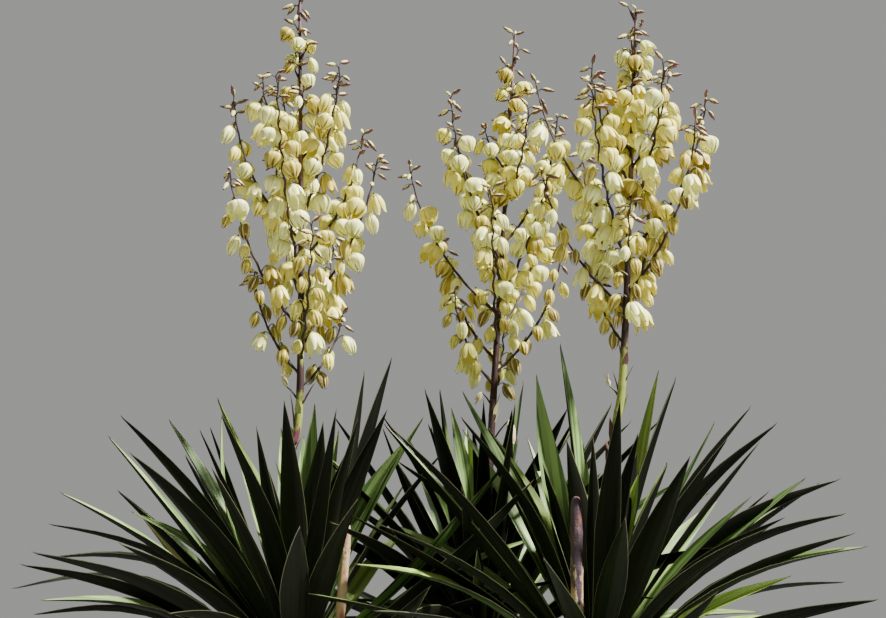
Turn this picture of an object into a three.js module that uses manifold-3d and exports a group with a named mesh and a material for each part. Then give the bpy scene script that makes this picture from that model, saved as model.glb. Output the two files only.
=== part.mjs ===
// A branched yucca: a trunk that forks into three boughs, each with a head of sword leaves
// and a tall spray of hanging bells. Two heads keep the cut stalk of an older spray.
// Millimetres, +Z up, the ground at z = 0, and the side that is looked at faces -Y.
import * as THREE from "three";
import { mergeVertices } from "three/addons/utils/BufferGeometryUtils.js";
import Module from "manifold-3d";

const wasm = await Module();
wasm.setup();

// Gap between neighbouring sub-parts, and the least gap that a leaf, twig or bell keeps to another sub-part.
const GAP = 0.3;
const CLEAR = 0.45;

// Trunk: a root flare that dies out upwards, a slow taper, a swollen fork and a blunt round top.
const TRUNK_HEIGHT = 925;
const TRUNK_RADII = [89, 80];
const TRUNK_LEAN = [14, 20];
const TRUNK_SIDES = 14;
const TRUNK_LEVELS = [0, 25, 70, 150, 280, 520, 730, 835, 880, 909];
const FLARE = { radius: 76, height: 95, lobe: 0.16, lobeHeight: 110 };
const FORK = { radius: 20, at: 845, spread: 85 };

// Boughs: radius at the fork and at the foot of the head.
const BOUGH_RADII = [58, 47];
const BOUGH_SIDES = 10;
const BOUGH_STEPS = 7;

// Leafy stem of a head, in heights above the head's centre, in one length for each tier of leaves.
const STEM_FOOT = -150;
const STEM_TOP = 66;
const STEM_RADII = [46, 23];
const STEM_SIDES = 8;
const TIERS = ["outer", "middle", "inner"];
const LOWEST_SEAT = 9;
const HIGHEST_SEAT = 13;

// Sword leaves of a whole head, from the outermost to the innermost, and how many of them the solids have.
const LEAVES = 76;
const EVERY_LEAF = 2;
const GOLDEN_ANGLE = 137.508;
const LEAF_RISE = [-14, 82];
const LEAF_LENGTH = [520, 660];
const INNER_SHORTER = 0.4;
const LEAF_WIDTH = 66;
const LEAF_THICKNESS = { share: 0.16, least: 7.2 };
const LEAF_DROOP = { least: 7, spread: 16, upturn: -9, upturnShare: 0.1 };

// Flower stalk: radii at its foot, at its first branch and at its tip.
const STALK_RADII = [12, 8.5, 3];

// Side branches of a spray, then the bells and buds on them. One in three is a solid, larger than life.
const BRANCHES = 22;
const BRANCH_LENGTH = 420;
const BRANCH_RISE = [41, 84];
const BRANCH_RADII = [4.6, 3.2];
const FIRST_FLOWER = 34;
const FLOWER_STEP = 25;
const EVERY_FLOWER = 3;
const BUDS_FROM = 0.84;
const FLOWER_STEM = { length: 25, rise: 28, root: 1.9 };
const BELL = { radius: 29, length: 65, wideAt: 0.42, mouthAt: 0.8, neck: 0.22, mouth: 0.76 };
const BUD = { radius: 5.5, length: 30, wideAt: 0.62 };

// Flowers that hang straight off the upper stalk, in shares of its length, and how many of them are solids.
const STALK_FLOWERS = { count: 24, from: 0.58, to: 0.95, budsFrom: 0.89 };
const EVERY_STALK_FLOWER = 2;

// The three heads. centre: middle of the leaf fan. bough: its way up from the fork.
// stalk: bend, first branch and tip of the flower stalk. cut: the old stalk beside the head.
// lead: the leaves that make the outline, each by its angle in the plane across the view,
// its reach from the centre, its turn out of that plane and its droop.
// far: the leaves of the spiral that reach past the others, which the solids have as well.
const HEADS = [
  {
    name: "left",
    seed: 11,
    phase: 20,
    centre: [-364, -80, 1729],
    bough: [[-32, -12, 845], [-185, -60, 1085], [-322, -84, 1350]],
    stalk: [[-398, -80, 2133], [-370, -80, 2290], [-388, -80, 3252]],
    cut: { path: [[-328, -92, 1400], [-288, -136, 1590], [-256, -150, 1980]], radii: [15, 9.5] },
    lead: [
      [171, 555, 12, 20], [169, 638, 0, 24], [161, 625, -12, 24], [155, 597, 9, 16],
      [142, 482, -6, 22], [133, 621, 5, 8], [121, 590, -8, 5], [109, 571, 10, 6],
      [88, 538, 40, 0], [77, 618, -14, -4], [73, 677, 10, 0],
    ],
    far: [9],
  },
  {
    name: "middle",
    seed: 23,
    phase: 75,
    centre: [44, 220, 1784],
    bough: [[12, 58, 845], [30, 165, 1100], [42, 214, 1380]],
    stalk: [[58, 220, 2159], [69, 220, 2328], [130, 220, 3261]],
    cut: null,
    lead: [[100, 578, 8, 0], [98, 536, -14, 3], [81, 601, 0, 0]],
    far: [],
  },
  {
    name: "right",
    seed: 37,
    phase: 140,
    centre: [272, -120, 1716],
    bough: [[52, -22, 845], [168, -78, 1085], [250, -112, 1350]],
    stalk: [[325, -120, 2171], [352, -120, 2380], [398, -120, 3184]],
    cut: { path: [[246, -134, 1390], [232, -186, 1580], [233, -200, 2033]], radii: [18, 12.5] },
    lead: [
      [162, 553, 14, 26], [133, 665, 6, 6], [116, 639, -8, -3], [101, 611, 10, 2],
      [95, 678, -5, 0], [76, 635, 4, 3], [72, 618, -16, 6], [56, 657, 8, 5],
      [50, 629, -10, 10], [41, 544, 12, 8], [34, 648, -6, 14], [28, 644, 6, 20],
      [20, 622, -8, 16], [8, 482, 8, 34],
    ],
    far: [1, 7],
  },
];

// Looks of the sub-parts, as colour and roughness.
const LOOKS = {
  bark: [0x6f5a45, 0.95],
  leaf: [0x3f5f34, 0.55],
  stalk: [0x7d6a4a, 0.7],
  blossom: [0xefe9c4, 0.6],
  dry: [0x6b4a38, 0.9],
};

const { degToRad, radToDeg, clamp, lerp } = THREE.MathUtils;
const UP = new THREE.Vector3(0, 0, 1);
const EAST = new THREE.Vector3(1, 0, 0);

// A number from 0 to 1 that is always the same for the same seed, index and channel.
function chance(seed, index, channel) {
  let h = Math.imul(seed, 374761393) + Math.imul(index + 1, 668265263);
  h = (h + Math.imul(channel + 1, 2246822519)) | 0;
  h = Math.imul(h ^ (h >>> 13), 1274126177);
  return ((h ^ (h >>> 16)) >>> 0) / 4294967296;
}

const vector = (place) => new THREE.Vector3(...place);
const along = (from, way, distance) => from.clone().addScaledVector(way, distance);

// Unit vector at a bearing about Z and a rise above the level, both in degrees.
function heading(bearing, rise) {
  const level = Math.cos(degToRad(rise));
  const b = degToRad(bearing);
  return new THREE.Vector3(level * Math.cos(b), level * Math.sin(b), Math.sin(degToRad(rise)));
}

// Level unit vector square to a bearing.
const aside = (bearing) => heading(bearing + 90, 0);

// Smooth path through a few places.
const pathOf = (places) => new THREE.CatmullRomCurve3(places.map(vector), false, "catmullrom", 0.5);

// Ring of points round a centre, square to the way of travel. The first point lies towards side.
function ring(centre, travel, side, radius, sides, lobe = () => 1) {
  const t = travel.clone().normalize();
  const s = along(side, t, -side.dot(t)).normalize();
  const u = t.clone().cross(s);
  return Array.from({ length: sides }, (_, i) => {
    const a = (2 * Math.PI * i) / sides;
    const r = radius * lobe(a);
    return along(along(centre, s, r * Math.cos(a)), u, r * Math.sin(a));
  });
}

// Faces between two rings with the same number of points, or from one ring to another with twice as many,
// or between a ring and a tip, which is a ring of one point. a and b number the rings' first points.
function bridge(a, m, b, n) {
  if (m === 1) return Array.from({ length: n }, (_, i) => [a, b + ((i + 1) % n), b + i]);
  const faces = [];
  for (let i = 0; i < m; i++) {
    const j = (i + 1) % m;
    if (n === 1) {
      faces.push([a + i, a + j, b]);
    } else if (n === m) {
      faces.push([a + i, a + j, b + j], [a + i, b + j, b + i]);
    } else {
      const next = b + ((2 * i + 2) % n);
      const between = b + 2 * i + 1;
      faces.push([a + i, between, b + 2 * i], [a + i, a + j, between], [a + j, next, between]);
    }
  }
  return faces;
}

// Closed geometry through rings and tips, with flat ends about the middle of each end ring.
function skin(rings) {
  const points = [];
  const faces = [];
  let before = 0;
  rings.forEach((ringPoints, k) => {
    const start = points.length;
    points.push(...ringPoints);
    if (k > 0) faces.push(...bridge(before, rings[k - 1].length, start, ringPoints.length));
    before = start;
  });
  const close = (end, start, turned) => {
    const n = end.length;
    const hub = points.length;
    if (n === 1) return;
    points.push(end.reduce((sum, p) => sum.add(p), new THREE.Vector3()).divideScalar(n));
    for (let i = 0; i < n; i++) {
      const a = start + i;
      const b = start + ((i + 1) % n);
      faces.push(turned ? [hub, b, a] : [hub, a, b]);
    }
  };
  close(rings[0], 0, true);
  close(rings[rings.length - 1], before, false);
  const geometry = new THREE.BufferGeometry().setFromPoints(points);
  geometry.setIndex(faces.flat());
  return geometry;
}

// The solid inside a closed geometry.
function solid(geometry) {
  geometry.deleteAttribute("normal");
  geometry.deleteAttribute("uv");
  const merged = mergeVertices(geometry, 1e-4);
  return new wasm.Manifold(
    new wasm.Mesh({
      numProp: 3,
      vertProperties: merged.attributes.position.array,
      triVerts: new Uint32Array(merged.index.array),
    }),
  );
}

// Tapering limb along a path. It is level at the shares of its length that level() names.
function limb(path, span, radiusAt, sides, steps, side, level) {
  const rings = [];
  for (let k = 0; k <= steps; k++) {
    const f = k / steps;
    const t = lerp(span[0], span[1], f);
    rings.push(ring(path.getPoint(t), level(f) ? UP : path.getTangent(t), side, radiusAt(f), sides));
  }
  return solid(skin(rings));
}
const atTop = (f) => f === 1;
const allAlong = () => true;

// Radius of the trunk at a height.
function trunkRadius(z) {
  const taper = lerp(TRUNK_RADII[0], TRUNK_RADII[1], z / TRUNK_HEIGHT);
  const flare = FLARE.radius * Math.exp(-z / FLARE.height);
  const swell = FORK.radius * Math.exp(-(((z - FORK.at) / FORK.spread) ** 2));
  const rounding = Math.max(z - FORK.at, 0) / (TRUNK_HEIGHT - FORK.at + 7);
  return (taper + flare + swell) * Math.sqrt(1 - rounding ** 2);
}

// Trunk, grown outwards by a margin, and upwards above the fork, where it serves to cut a seat.
function trunkSolid(margin) {
  const middle = (z) => {
    const f = (z / TRUNK_HEIGHT) ** 2;
    return new THREE.Vector3(TRUNK_LEAN[0] * f, TRUNK_LEAN[1] * f, z > FORK.at ? z + margin : z);
  };
  const rings = TRUNK_LEVELS.map((z) => {
    const depth = FLARE.lobe * Math.exp(-z / FLARE.lobeHeight);
    const lobe = (a) => 1 + depth * Math.cos(3 * a + 0.6) * Math.cos(2 * a);
    return ring(middle(z), UP, EAST, trunkRadius(z) + margin, TRUNK_SIDES, lobe);
  });
  return solid(skin([...rings, [middle(TRUNK_HEIGHT)]]));
}

// Bough from inside the fork up to the level foot of its head, grown by a margin where it cuts a seat.
function boughSolid(head, margin) {
  const [x, y, z] = head.centre;
  const path = pathOf([...head.bough, [x, y, z + STEM_FOOT - GAP]]);
  const side = aside(radToDeg(Math.atan2(y, x)));
  const radiusAt = (f) => lerp(BOUGH_RADII[0], BOUGH_RADII[1], f) + margin;
  return limb(path, [0, 1], radiusAt, BOUGH_SIDES, BOUGH_STEPS, side, atTop);
}

// Old flower stalk, cut off level, that stands on the bough beside the head.
function cutStalkSolid(head) {
  const { path, radii } = head.cut;
  return limb(pathOf(path), [0, 1], (f) => lerp(radii[0], radii[1], f), 6, 4, EAST, atTop);
}

// Flower stalk from the top of the leafy stem to its tip. Its third place, at two thirds, is the first branch.
function stalkPath(head) {
  const [x, y, z] = head.centre;
  return pathOf([[x, y, z + STEM_TOP - GAP], ...head.stalk]);
}
const FIRST_BRANCH = 2 / 3;

function stalkRadius(t) {
  const [foot, first, tip] = STALK_RADII;
  if (t < FIRST_BRANCH) return lerp(foot, first, t / FIRST_BRANCH);
  return lerp(first, tip, (t - FIRST_BRANCH) / (1 - FIRST_BRANCH));
}

// One length of a flower stalk, seated just above whatever ends at its foot.
function stalkSolid(head, from, to, sides, steps) {
  const path = stalkPath(head);
  const small = 0.001;
  const climb = path.getPoint(from + small).z - path.getPoint(from).z;
  const foot = from + (small * GAP) / climb;
  const radiusAt = (f) => stalkRadius(lerp(foot, to, f));
  return limb(path, [foot, to], radiusAt, sides, steps, EAST, allAlong);
}

// Radius of the leafy stem at a height above the head's centre.
const stemRadius = (z) => lerp(STEM_RADII[0], STEM_RADII[1], (z - STEM_FOOT) / (STEM_TOP - STEM_FOOT));

// Foot and top of one tier's length of the leafy stem, above the head's centre.
function tierSpan(tier) {
  const height = (STEM_TOP - STEM_FOOT) / TIERS.length;
  const foot = STEM_FOOT + tier * height;
  return [foot, foot + height - GAP];
}

function stemSolid(head, tier) {
  const level = (z) => ring(along(vector(head.centre), UP, z), UP, EAST, stemRadius(z), STEM_SIDES);
  return solid(skin(tierSpan(tier).map(level)));
}

// Tier and height on the stem of a leaf, by its share of the way from outermost to innermost.
function leafSeat(share) {
  const tier = Math.min(Math.floor(share * TIERS.length), TIERS.length - 1);
  const [foot, top] = tierSpan(tier);
  return { tier, z: lerp(foot + LOWEST_SEAT, top - HIGHEST_SEAT, share * TIERS.length - tier) };
}

// Leaf i of a head's spiral. It arches over by its droop, and a few turn up instead.
function spiralLeaf(head, i) {
  const share = (i + 0.5) / LEAVES;
  const luck = (channel) => chance(head.seed, i, channel) - 0.5;
  const rise = lerp(LEAF_RISE[0], LEAF_RISE[1], share) + 7 * luck(1);
  const upturned = luck(2) > 0.5 - LEAF_DROOP.upturnShare;
  const arch = upturned ? LEAF_DROOP.upturn : LEAF_DROOP.least + LEAF_DROOP.spread * (luck(3) + 0.5);
  const droop = arch * Math.cos(degToRad(rise));
  const shorter = 1 - INNER_SHORTER * clamp((share - 0.7) / 0.3, 0, 1);
  return {
    ...leafSeat(share),
    bearing: head.phase + GOLDEN_ANGLE * i + 14 * luck(4),
    rise: rise + droop / 2,
    length: lerp(LEAF_LENGTH[0], LEAF_LENGTH[1], luck(5) + 0.5) * shorter,
    droop,
    swerve: 10 * luck(6),
    roll: 56 * luck(7),
    width: LEAF_WIDTH * (1 + 0.24 * luck(8)),
  };
}

// Leaf of the outline, worked out from where its tip stands.
function leadLeaf(head, [angle, reach, turn, droop], i) {
  const luck = (channel) => chance(head.seed, 500 + i, channel) - 0.5;
  const rise = angle > 90 ? 180 - angle : angle;
  const bearing = angle > 90 ? 180 + turn : turn;
  const share = (rise - LEAF_RISE[0]) / (LEAF_RISE[1] - LEAF_RISE[0]);
  const seat = leafSeat(clamp(share, 0.02, 0.97));
  const foot = heading(bearing, 0).multiplyScalar(stemRadius(seat.z)).setZ(seat.z);
  const chord = heading(bearing, rise).multiplyScalar(reach).sub(foot);
  return {
    ...seat,
    bearing,
    rise: radToDeg(Math.asin(chord.z / chord.length())) + droop / 2,
    length: chord.length(),
    droop,
    swerve: 0,
    roll: 50 * luck(7),
    width: LEAF_WIDTH * (1 + 0.14 * luck(8)),
  };
}

// Blade of a leaf: a flat upper face over a keel, widest half way, with its root at the stem's axis.
function leafSolid(head, leaf) {
  const axis = along(vector(head.centre), UP, leaf.z);
  const foot = along(axis, heading(leaf.bearing, 0), stemRadius(leaf.z) + 3);
  const way = (t) => heading(leaf.bearing + leaf.swerve * t, leaf.rise - leaf.droop * t);
  const blade = (t) => along(foot, way(t / 2), leaf.length * t);
  const section = (middle, travel, width, roll) => {
    const side = aside(leaf.bearing).applyAxisAngle(travel, degToRad(roll));
    const up = travel.clone().cross(side);
    const thick = Math.max(LEAF_THICKNESS.share * width, LEAF_THICKNESS.least);
    const face = along(middle, up, 0.35 * thick);
    return [along(face, side, width / 2), along(face, side, -width / 2), along(middle, up, -0.65 * thick)];
  };
  return solid(
    skin([
      [axis],
      section(foot, heading(leaf.bearing, leaf.rise / 2), 0.6 * leaf.width, 0),
      section(blade(0.46), way(0.46), leaf.width, 0.6 * leaf.roll),
      section(blade(0.78), way(0.78), 0.58 * leaf.width, leaf.roll),
      [blade(1)],
    ]),
  );
}

// Side branch j of a spray. They are longest a quarter of the way up and dwindle to the tip.
function branchOf(head, j) {
  const share = (j + 0.3) / BRANCHES;
  const luck = (channel) => chance(head.seed, 1000 + j, channel) - 0.5;
  const fullness = Math.max(0.08, Math.sin((Math.PI * (share + 0.13)) / 0.86));
  const bearing = head.phase + GOLDEN_ANGLE * j + 24 * luck(1);
  const rise = BRANCH_RISE[0] + 12 * luck(2);
  const arch = BRANCH_RISE[1] + 8 * luck(3) - rise;
  const length = BRANCH_LENGTH * fullness * (1 + 0.22 * luck(4));
  const foot = stalkPath(head).getPoint(lerp(FIRST_BRANCH, 1, share));
  const at = (w) => along(foot, heading(bearing, rise + (arch * w) / 2), length * w);
  const flowers = Math.floor((length - FIRST_FLOWER) / FLOWER_STEP) + 1;
  const straights = length > 150 ? 3 : 1;
  return { j, share, bearing, rise, arch, length, girth: lerp(0.7, 1, fullness), at, flowers, straights };
}

// Place on the straight lengths that a branch's solid is made of.
function onTwig(branch, w) {
  const k = Math.min(Math.floor(w * branch.straights), branch.straights - 1);
  const from = branch.at(k / branch.straights);
  return from.lerp(branch.at((k + 1) / branch.straights), w * branch.straights - k);
}

// Side branch as a three-sided solid, with a bud for its tip.
function branchSolid(branch) {
  const side = aside(branch.bearing);
  const rings = [];
  for (let k = 0; k <= branch.straights; k++) {
    const w = k / branch.straights;
    const travel = heading(branch.bearing, branch.rise + branch.arch * w);
    rings.push(ring(branch.at(w), travel, side, lerp(BRANCH_RADII[0], BRANCH_RADII[1], w) * branch.girth, 3));
  }
  const travel = heading(branch.bearing, branch.rise + branch.arch);
  const bud = (f) => along(branch.at(1), travel, BUD.length * f);
  return solid(skin([...rings, ring(bud(0.55), travel, side, BUD.radius, 3), [bud(1)]]));
}

// Flower k of a branch: a bell or a bud, with its bearing, its lean off the plumb and its size.
function flowerOf(head, branch, k) {
  const luck = (channel) => chance(head.seed, 2000 + 40 * branch.j + k, channel);
  const w = (FIRST_FLOWER + FLOWER_STEP * k) / branch.length;
  return {
    w,
    bud: w > BUDS_FROM || branch.share > 0.86,
    bearing: branch.bearing + (k % 2 ? 1 : -1) * (25 + 95 * luck(1)),
    lean: 10 + 20 * luck(2),
    size: (0.84 + 0.26 * luck(3)) * (branch.share > 0.7 ? 0.88 : 1),
  };
}

// Flower n that hangs straight off the upper stalk, with its place there.
function stalkFlowerOf(head, n) {
  const luck = (channel) => chance(head.seed, 3900 + n, channel);
  const share = lerp(STALK_FLOWERS.from, STALK_FLOWERS.to, n / (STALK_FLOWERS.count - 1));
  return {
    from: stalkPath(head).getPoint(lerp(FIRST_BRANCH, 1, share)),
    bud: share > STALK_FLOWERS.budsFrom,
    bearing: head.phase + 60 + GOLDEN_ANGLE * n + 30 * luck(1),
    lean: 20 + 14 * luck(2),
    size: 0.76 + 0.2 * luck(3),
  };
}

// Hanging bell: its stem rises out of the twig to a narrow neck, and the bell hangs from there.
function bellSolid(from, flower) {
  const side = aside(flower.bearing);
  const out = heading(flower.bearing, FLOWER_STEM.rise);
  const down = heading(flower.bearing, flower.lean - 90);
  const neck = along(from, out, FLOWER_STEM.length);
  const radius = BELL.radius * flower.size;
  const at = (f) => along(neck, down, BELL.length * flower.size * f);
  return solid(
    skin([
      [along(from, out, -FLOWER_STEM.root)],
      ring(neck, out.clone().add(down), side, BELL.neck * radius, 3),
      ring(at(BELL.wideAt), down, side, radius, 6),
      ring(at(BELL.mouthAt), down, side, BELL.mouth * radius, 6),
      [at(1)],
    ]),
  );
}

// Bud: a spindle that stands out of the twig or nods.
function budSolid(from, flower) {
  const side = aside(flower.bearing);
  const out = heading(flower.bearing, 34 - 2.4 * flower.lean);
  const wide = along(from, out, BUD.length * flower.size * BUD.wideAt);
  const tip = along(from, out, BUD.length * flower.size);
  const root = along(from, out, -FLOWER_STEM.root);
  return solid(skin([[root], ring(wide, out, side, BUD.radius, 3), [tip]]));
}

// Every piece placed so far, with its sub-part and its box.
const placed = [];
function place(name, piece) {
  placed.push({ name, piece, box: piece.boundingBox() });
}

function boxesMeet(a, b) {
  return [0, 1, 2].every((i) => a.min[i] < b.max[i] + CLEAR && b.min[i] < a.max[i] + CLEAR);
}

// Whether a piece keeps clear of every sub-part but its own.
function isClear(name, piece) {
  const box = piece.boundingBox();
  const others = placed.filter((other) => other.name !== name && boxesMeet(box, other.box));
  return others.every((other) => piece.minGap(other.piece, 2 * CLEAR) >= CLEAR);
}

// Largest body of a solid: a loose scrap that a cut leaves is dropped.
const largest = (made) => made.decompose().sort((a, b) => b.volume() - a.volume())[0];

const plant = new THREE.Group();
plant.name = "yucca";

function addNode(name, made, [colour, roughness]) {
  const mesh = largest(made).getMesh();
  const geometry = new THREE.BufferGeometry();
  geometry.setAttribute("position", new THREE.BufferAttribute(mesh.vertProperties, 3));
  geometry.setIndex(new THREE.BufferAttribute(mesh.triVerts, 1));
  const material = new THREE.MeshStandardMaterial({ color: colour, roughness, metalness: 0 });
  material.flatShading = true;
  const node = new THREE.Mesh(geometry, material);
  node.name = name;
  plant.add(node);
}

// Limb that later pieces keep clear of.
function addLimb(name, made, look) {
  place(name, made);
  addNode(name, made, look);
}

// Trunk, then the boughs: each is seated just clear of the fork and of the boughs before it.
addLimb("trunk", trunkSolid(0), LOOKS.bark);
const seats = [trunkSolid(GAP)];
for (const head of HEADS) {
  const bough = seats.reduce((rest, seat) => rest.subtract(seat), boughSolid(head, 0));
  addLimb(head.name + "_bough", largest(bough), LOOKS.bark);
  seats.push(boughSolid(head, GAP));
}

// Old cut stalks, seated on their boughs, and the bare lengths of the flower stalks.
for (const head of HEADS) {
  if (head.cut) {
    const stalk = cutStalkSolid(head).subtract(boughSolid(head, GAP));
    addLimb(head.name + "_cut_stalk", largest(stalk), LOOKS.dry);
  }
  addLimb(head.name + "_flower_stalk", stalkSolid(head, 0, FIRST_BRANCH, 7, 4), LOOKS.stalk);
}

// Leaf tiers: each is a length of stem with its leaves. A leaf that touches another sub-part is skipped.
const tiers = new Map();
const tierName = (head, tier) => head.name + "_" + TIERS[tier] + "_leaves";
for (const head of HEADS) {
  for (let tier = 0; tier < TIERS.length; tier++) {
    const stem = stemSolid(head, tier);
    tiers.set(tierName(head, tier), [stem]);
    place(tierName(head, tier), stem);
  }
}
function addLeaf(head, leaf) {
  const name = tierName(head, leaf.tier);
  const blade = leafSolid(head, leaf);
  if (!isClear(name, blade)) return;
  tiers.get(name).push(blade);
  place(name, blade);
}
for (const head of HEADS) head.lead.forEach((row, i) => addLeaf(head, leadLeaf(head, row, i)));
for (const head of HEADS) head.far.forEach((i) => addLeaf(head, spiralLeaf(head, i)));
for (let i = 0; i < LEAVES; i += EVERY_LEAF) {
  for (const head of HEADS) addLeaf(head, spiralLeaf(head, i));
}
for (const [name, pieces] of tiers) addNode(name, wasm.Manifold.union(pieces), LOOKS.leaf);

// Sprays: the upper stalk with its side branches, then the bells and buds that hang free of the rest.
for (const head of HEADS) {
  const name = head.name + "_flower_spray";
  const stalk = stalkSolid(head, FIRST_BRANCH, 1, 6, 6);
  const branches = Array.from({ length: BRANCHES }, (_, j) => branchOf(head, j));
  const twigs = new Map(branches.map((branch) => [branch, branchSolid(branch)]));
  const pieces = [stalk, ...[...twigs.values()].filter((twig) => isClear(name, twig))];
  const hang = (bearer, from, flower) => {
    const hung = flower.bud ? budSolid(from, flower) : bellSolid(from, flower);
    const box = hung.boundingBox();
    const near = pieces.filter((piece) => piece !== bearer && boxesMeet(box, piece.boundingBox()));
    const free = near.every((piece) => hung.minGap(piece, 2 * CLEAR) >= CLEAR);
    if (free && isClear(name, hung)) pieces.push(hung);
  };
  for (const [branch, twig] of twigs) {
    if (!pieces.includes(twig)) continue;
    for (let k = branch.j % EVERY_FLOWER; k < branch.flowers; k += EVERY_FLOWER) {
      const flower = flowerOf(head, branch, k);
      hang(twig, onTwig(branch, flower.w), flower);
    }
  }
  for (let n = 0; n < STALK_FLOWERS.count; n += EVERY_STALK_FLOWER) {
    const flower = stalkFlowerOf(head, n);
    hang(stalk, flower.from, flower);
  }
  const spray = wasm.Manifold.union(pieces);
  place(name, spray);
  addNode(name, spray, LOOKS.blossom);
}

export default plant;
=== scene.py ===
"""Looks of a branched yucca in flower, grown around its solids by the same rule, as a Blender add-on."""

import math
from types import SimpleNamespace

import bpy
import numpy as np
from bpy.props import FloatProperty, FloatVectorProperty, PointerProperty
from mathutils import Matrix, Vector, noise


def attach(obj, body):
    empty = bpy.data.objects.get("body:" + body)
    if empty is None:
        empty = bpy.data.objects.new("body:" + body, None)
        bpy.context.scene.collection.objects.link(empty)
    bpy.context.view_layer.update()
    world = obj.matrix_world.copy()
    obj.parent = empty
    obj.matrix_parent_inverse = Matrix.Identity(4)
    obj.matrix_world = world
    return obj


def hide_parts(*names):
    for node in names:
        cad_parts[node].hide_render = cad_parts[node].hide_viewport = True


bl_info = {
    "name": "Branched yucca in flower",
    "version": (1, 0, 0),
    "blender": (4, 5, 0),
    "location": "3D View > Sidebar > Yucca",
    "description": "Bark, sword leaves, flower stalks, bells and buds of a branched yucca",
    "category": "Add Mesh",
}

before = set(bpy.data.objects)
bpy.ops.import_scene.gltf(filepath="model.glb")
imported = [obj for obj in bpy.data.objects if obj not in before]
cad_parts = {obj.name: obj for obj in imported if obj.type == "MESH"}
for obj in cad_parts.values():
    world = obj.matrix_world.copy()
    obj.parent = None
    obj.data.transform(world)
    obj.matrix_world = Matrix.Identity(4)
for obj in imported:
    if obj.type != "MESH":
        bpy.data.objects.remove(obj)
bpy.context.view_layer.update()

MM = 0.001

# The plant's rule, as in its solids. Lengths are in metres and angles in degrees.
GAP = 0.3 * MM
TRUNK_HEIGHT = 925 * MM
TRUNK_RADII = (89 * MM, 80 * MM)
TRUNK_LEAN = (14 * MM, 20 * MM)
FLARE = SimpleNamespace(radius=76 * MM, height=95 * MM, lobe=0.16, lobe_height=110 * MM)
FORK = SimpleNamespace(radius=20 * MM, at=845 * MM, spread=85 * MM, cap=7 * MM)
BOUGH_RADII = (58 * MM, 47 * MM)
STEM_FOOT = -150 * MM
STEM_TOP = 66 * MM
STEM_RADII = (46 * MM, 23 * MM)
TIERS = ("outer", "middle", "inner")
LOWEST_SEAT = 9 * MM
HIGHEST_SEAT = 13 * MM
LEAVES = 76
GOLDEN_ANGLE = 137.508
LEAF_RISE = (-14, 82)
LEAF_LENGTH = (520 * MM, 660 * MM)
INNER_SHORTER = 0.4
LEAF_DROOP = SimpleNamespace(least=7, spread=16, upturn=-9, upturn_share=0.1)
STALK_RADII = (12 * MM, 8.5 * MM, 3 * MM)
FIRST_BRANCH = 2 / 3
JOINT = 58 * MM
BRANCHES = 22
BRANCH_LENGTH = 420 * MM
BRANCH_RISE = (41, 84)
FIRST_FLOWER = 34 * MM
FLOWER_STEP = 25 * MM
BUDS_FROM = 0.84
PEDICEL = SimpleNamespace(length=25 * MM, rise=28)
STALK_FLOWERS = SimpleNamespace(count=24, start=0.58, end=0.95, buds_from=0.89)

UP = np.array((0.0, 0.0, 1.0))
EAST = np.array((1.0, 0.0, 0.0))


def places(rows):
    """Places given in millimetres, as an array in metres."""
    return np.array(rows, float) * MM


# Ages of a leaf
GROWN, YOUNG, OLD = 0, 1, 2

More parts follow.
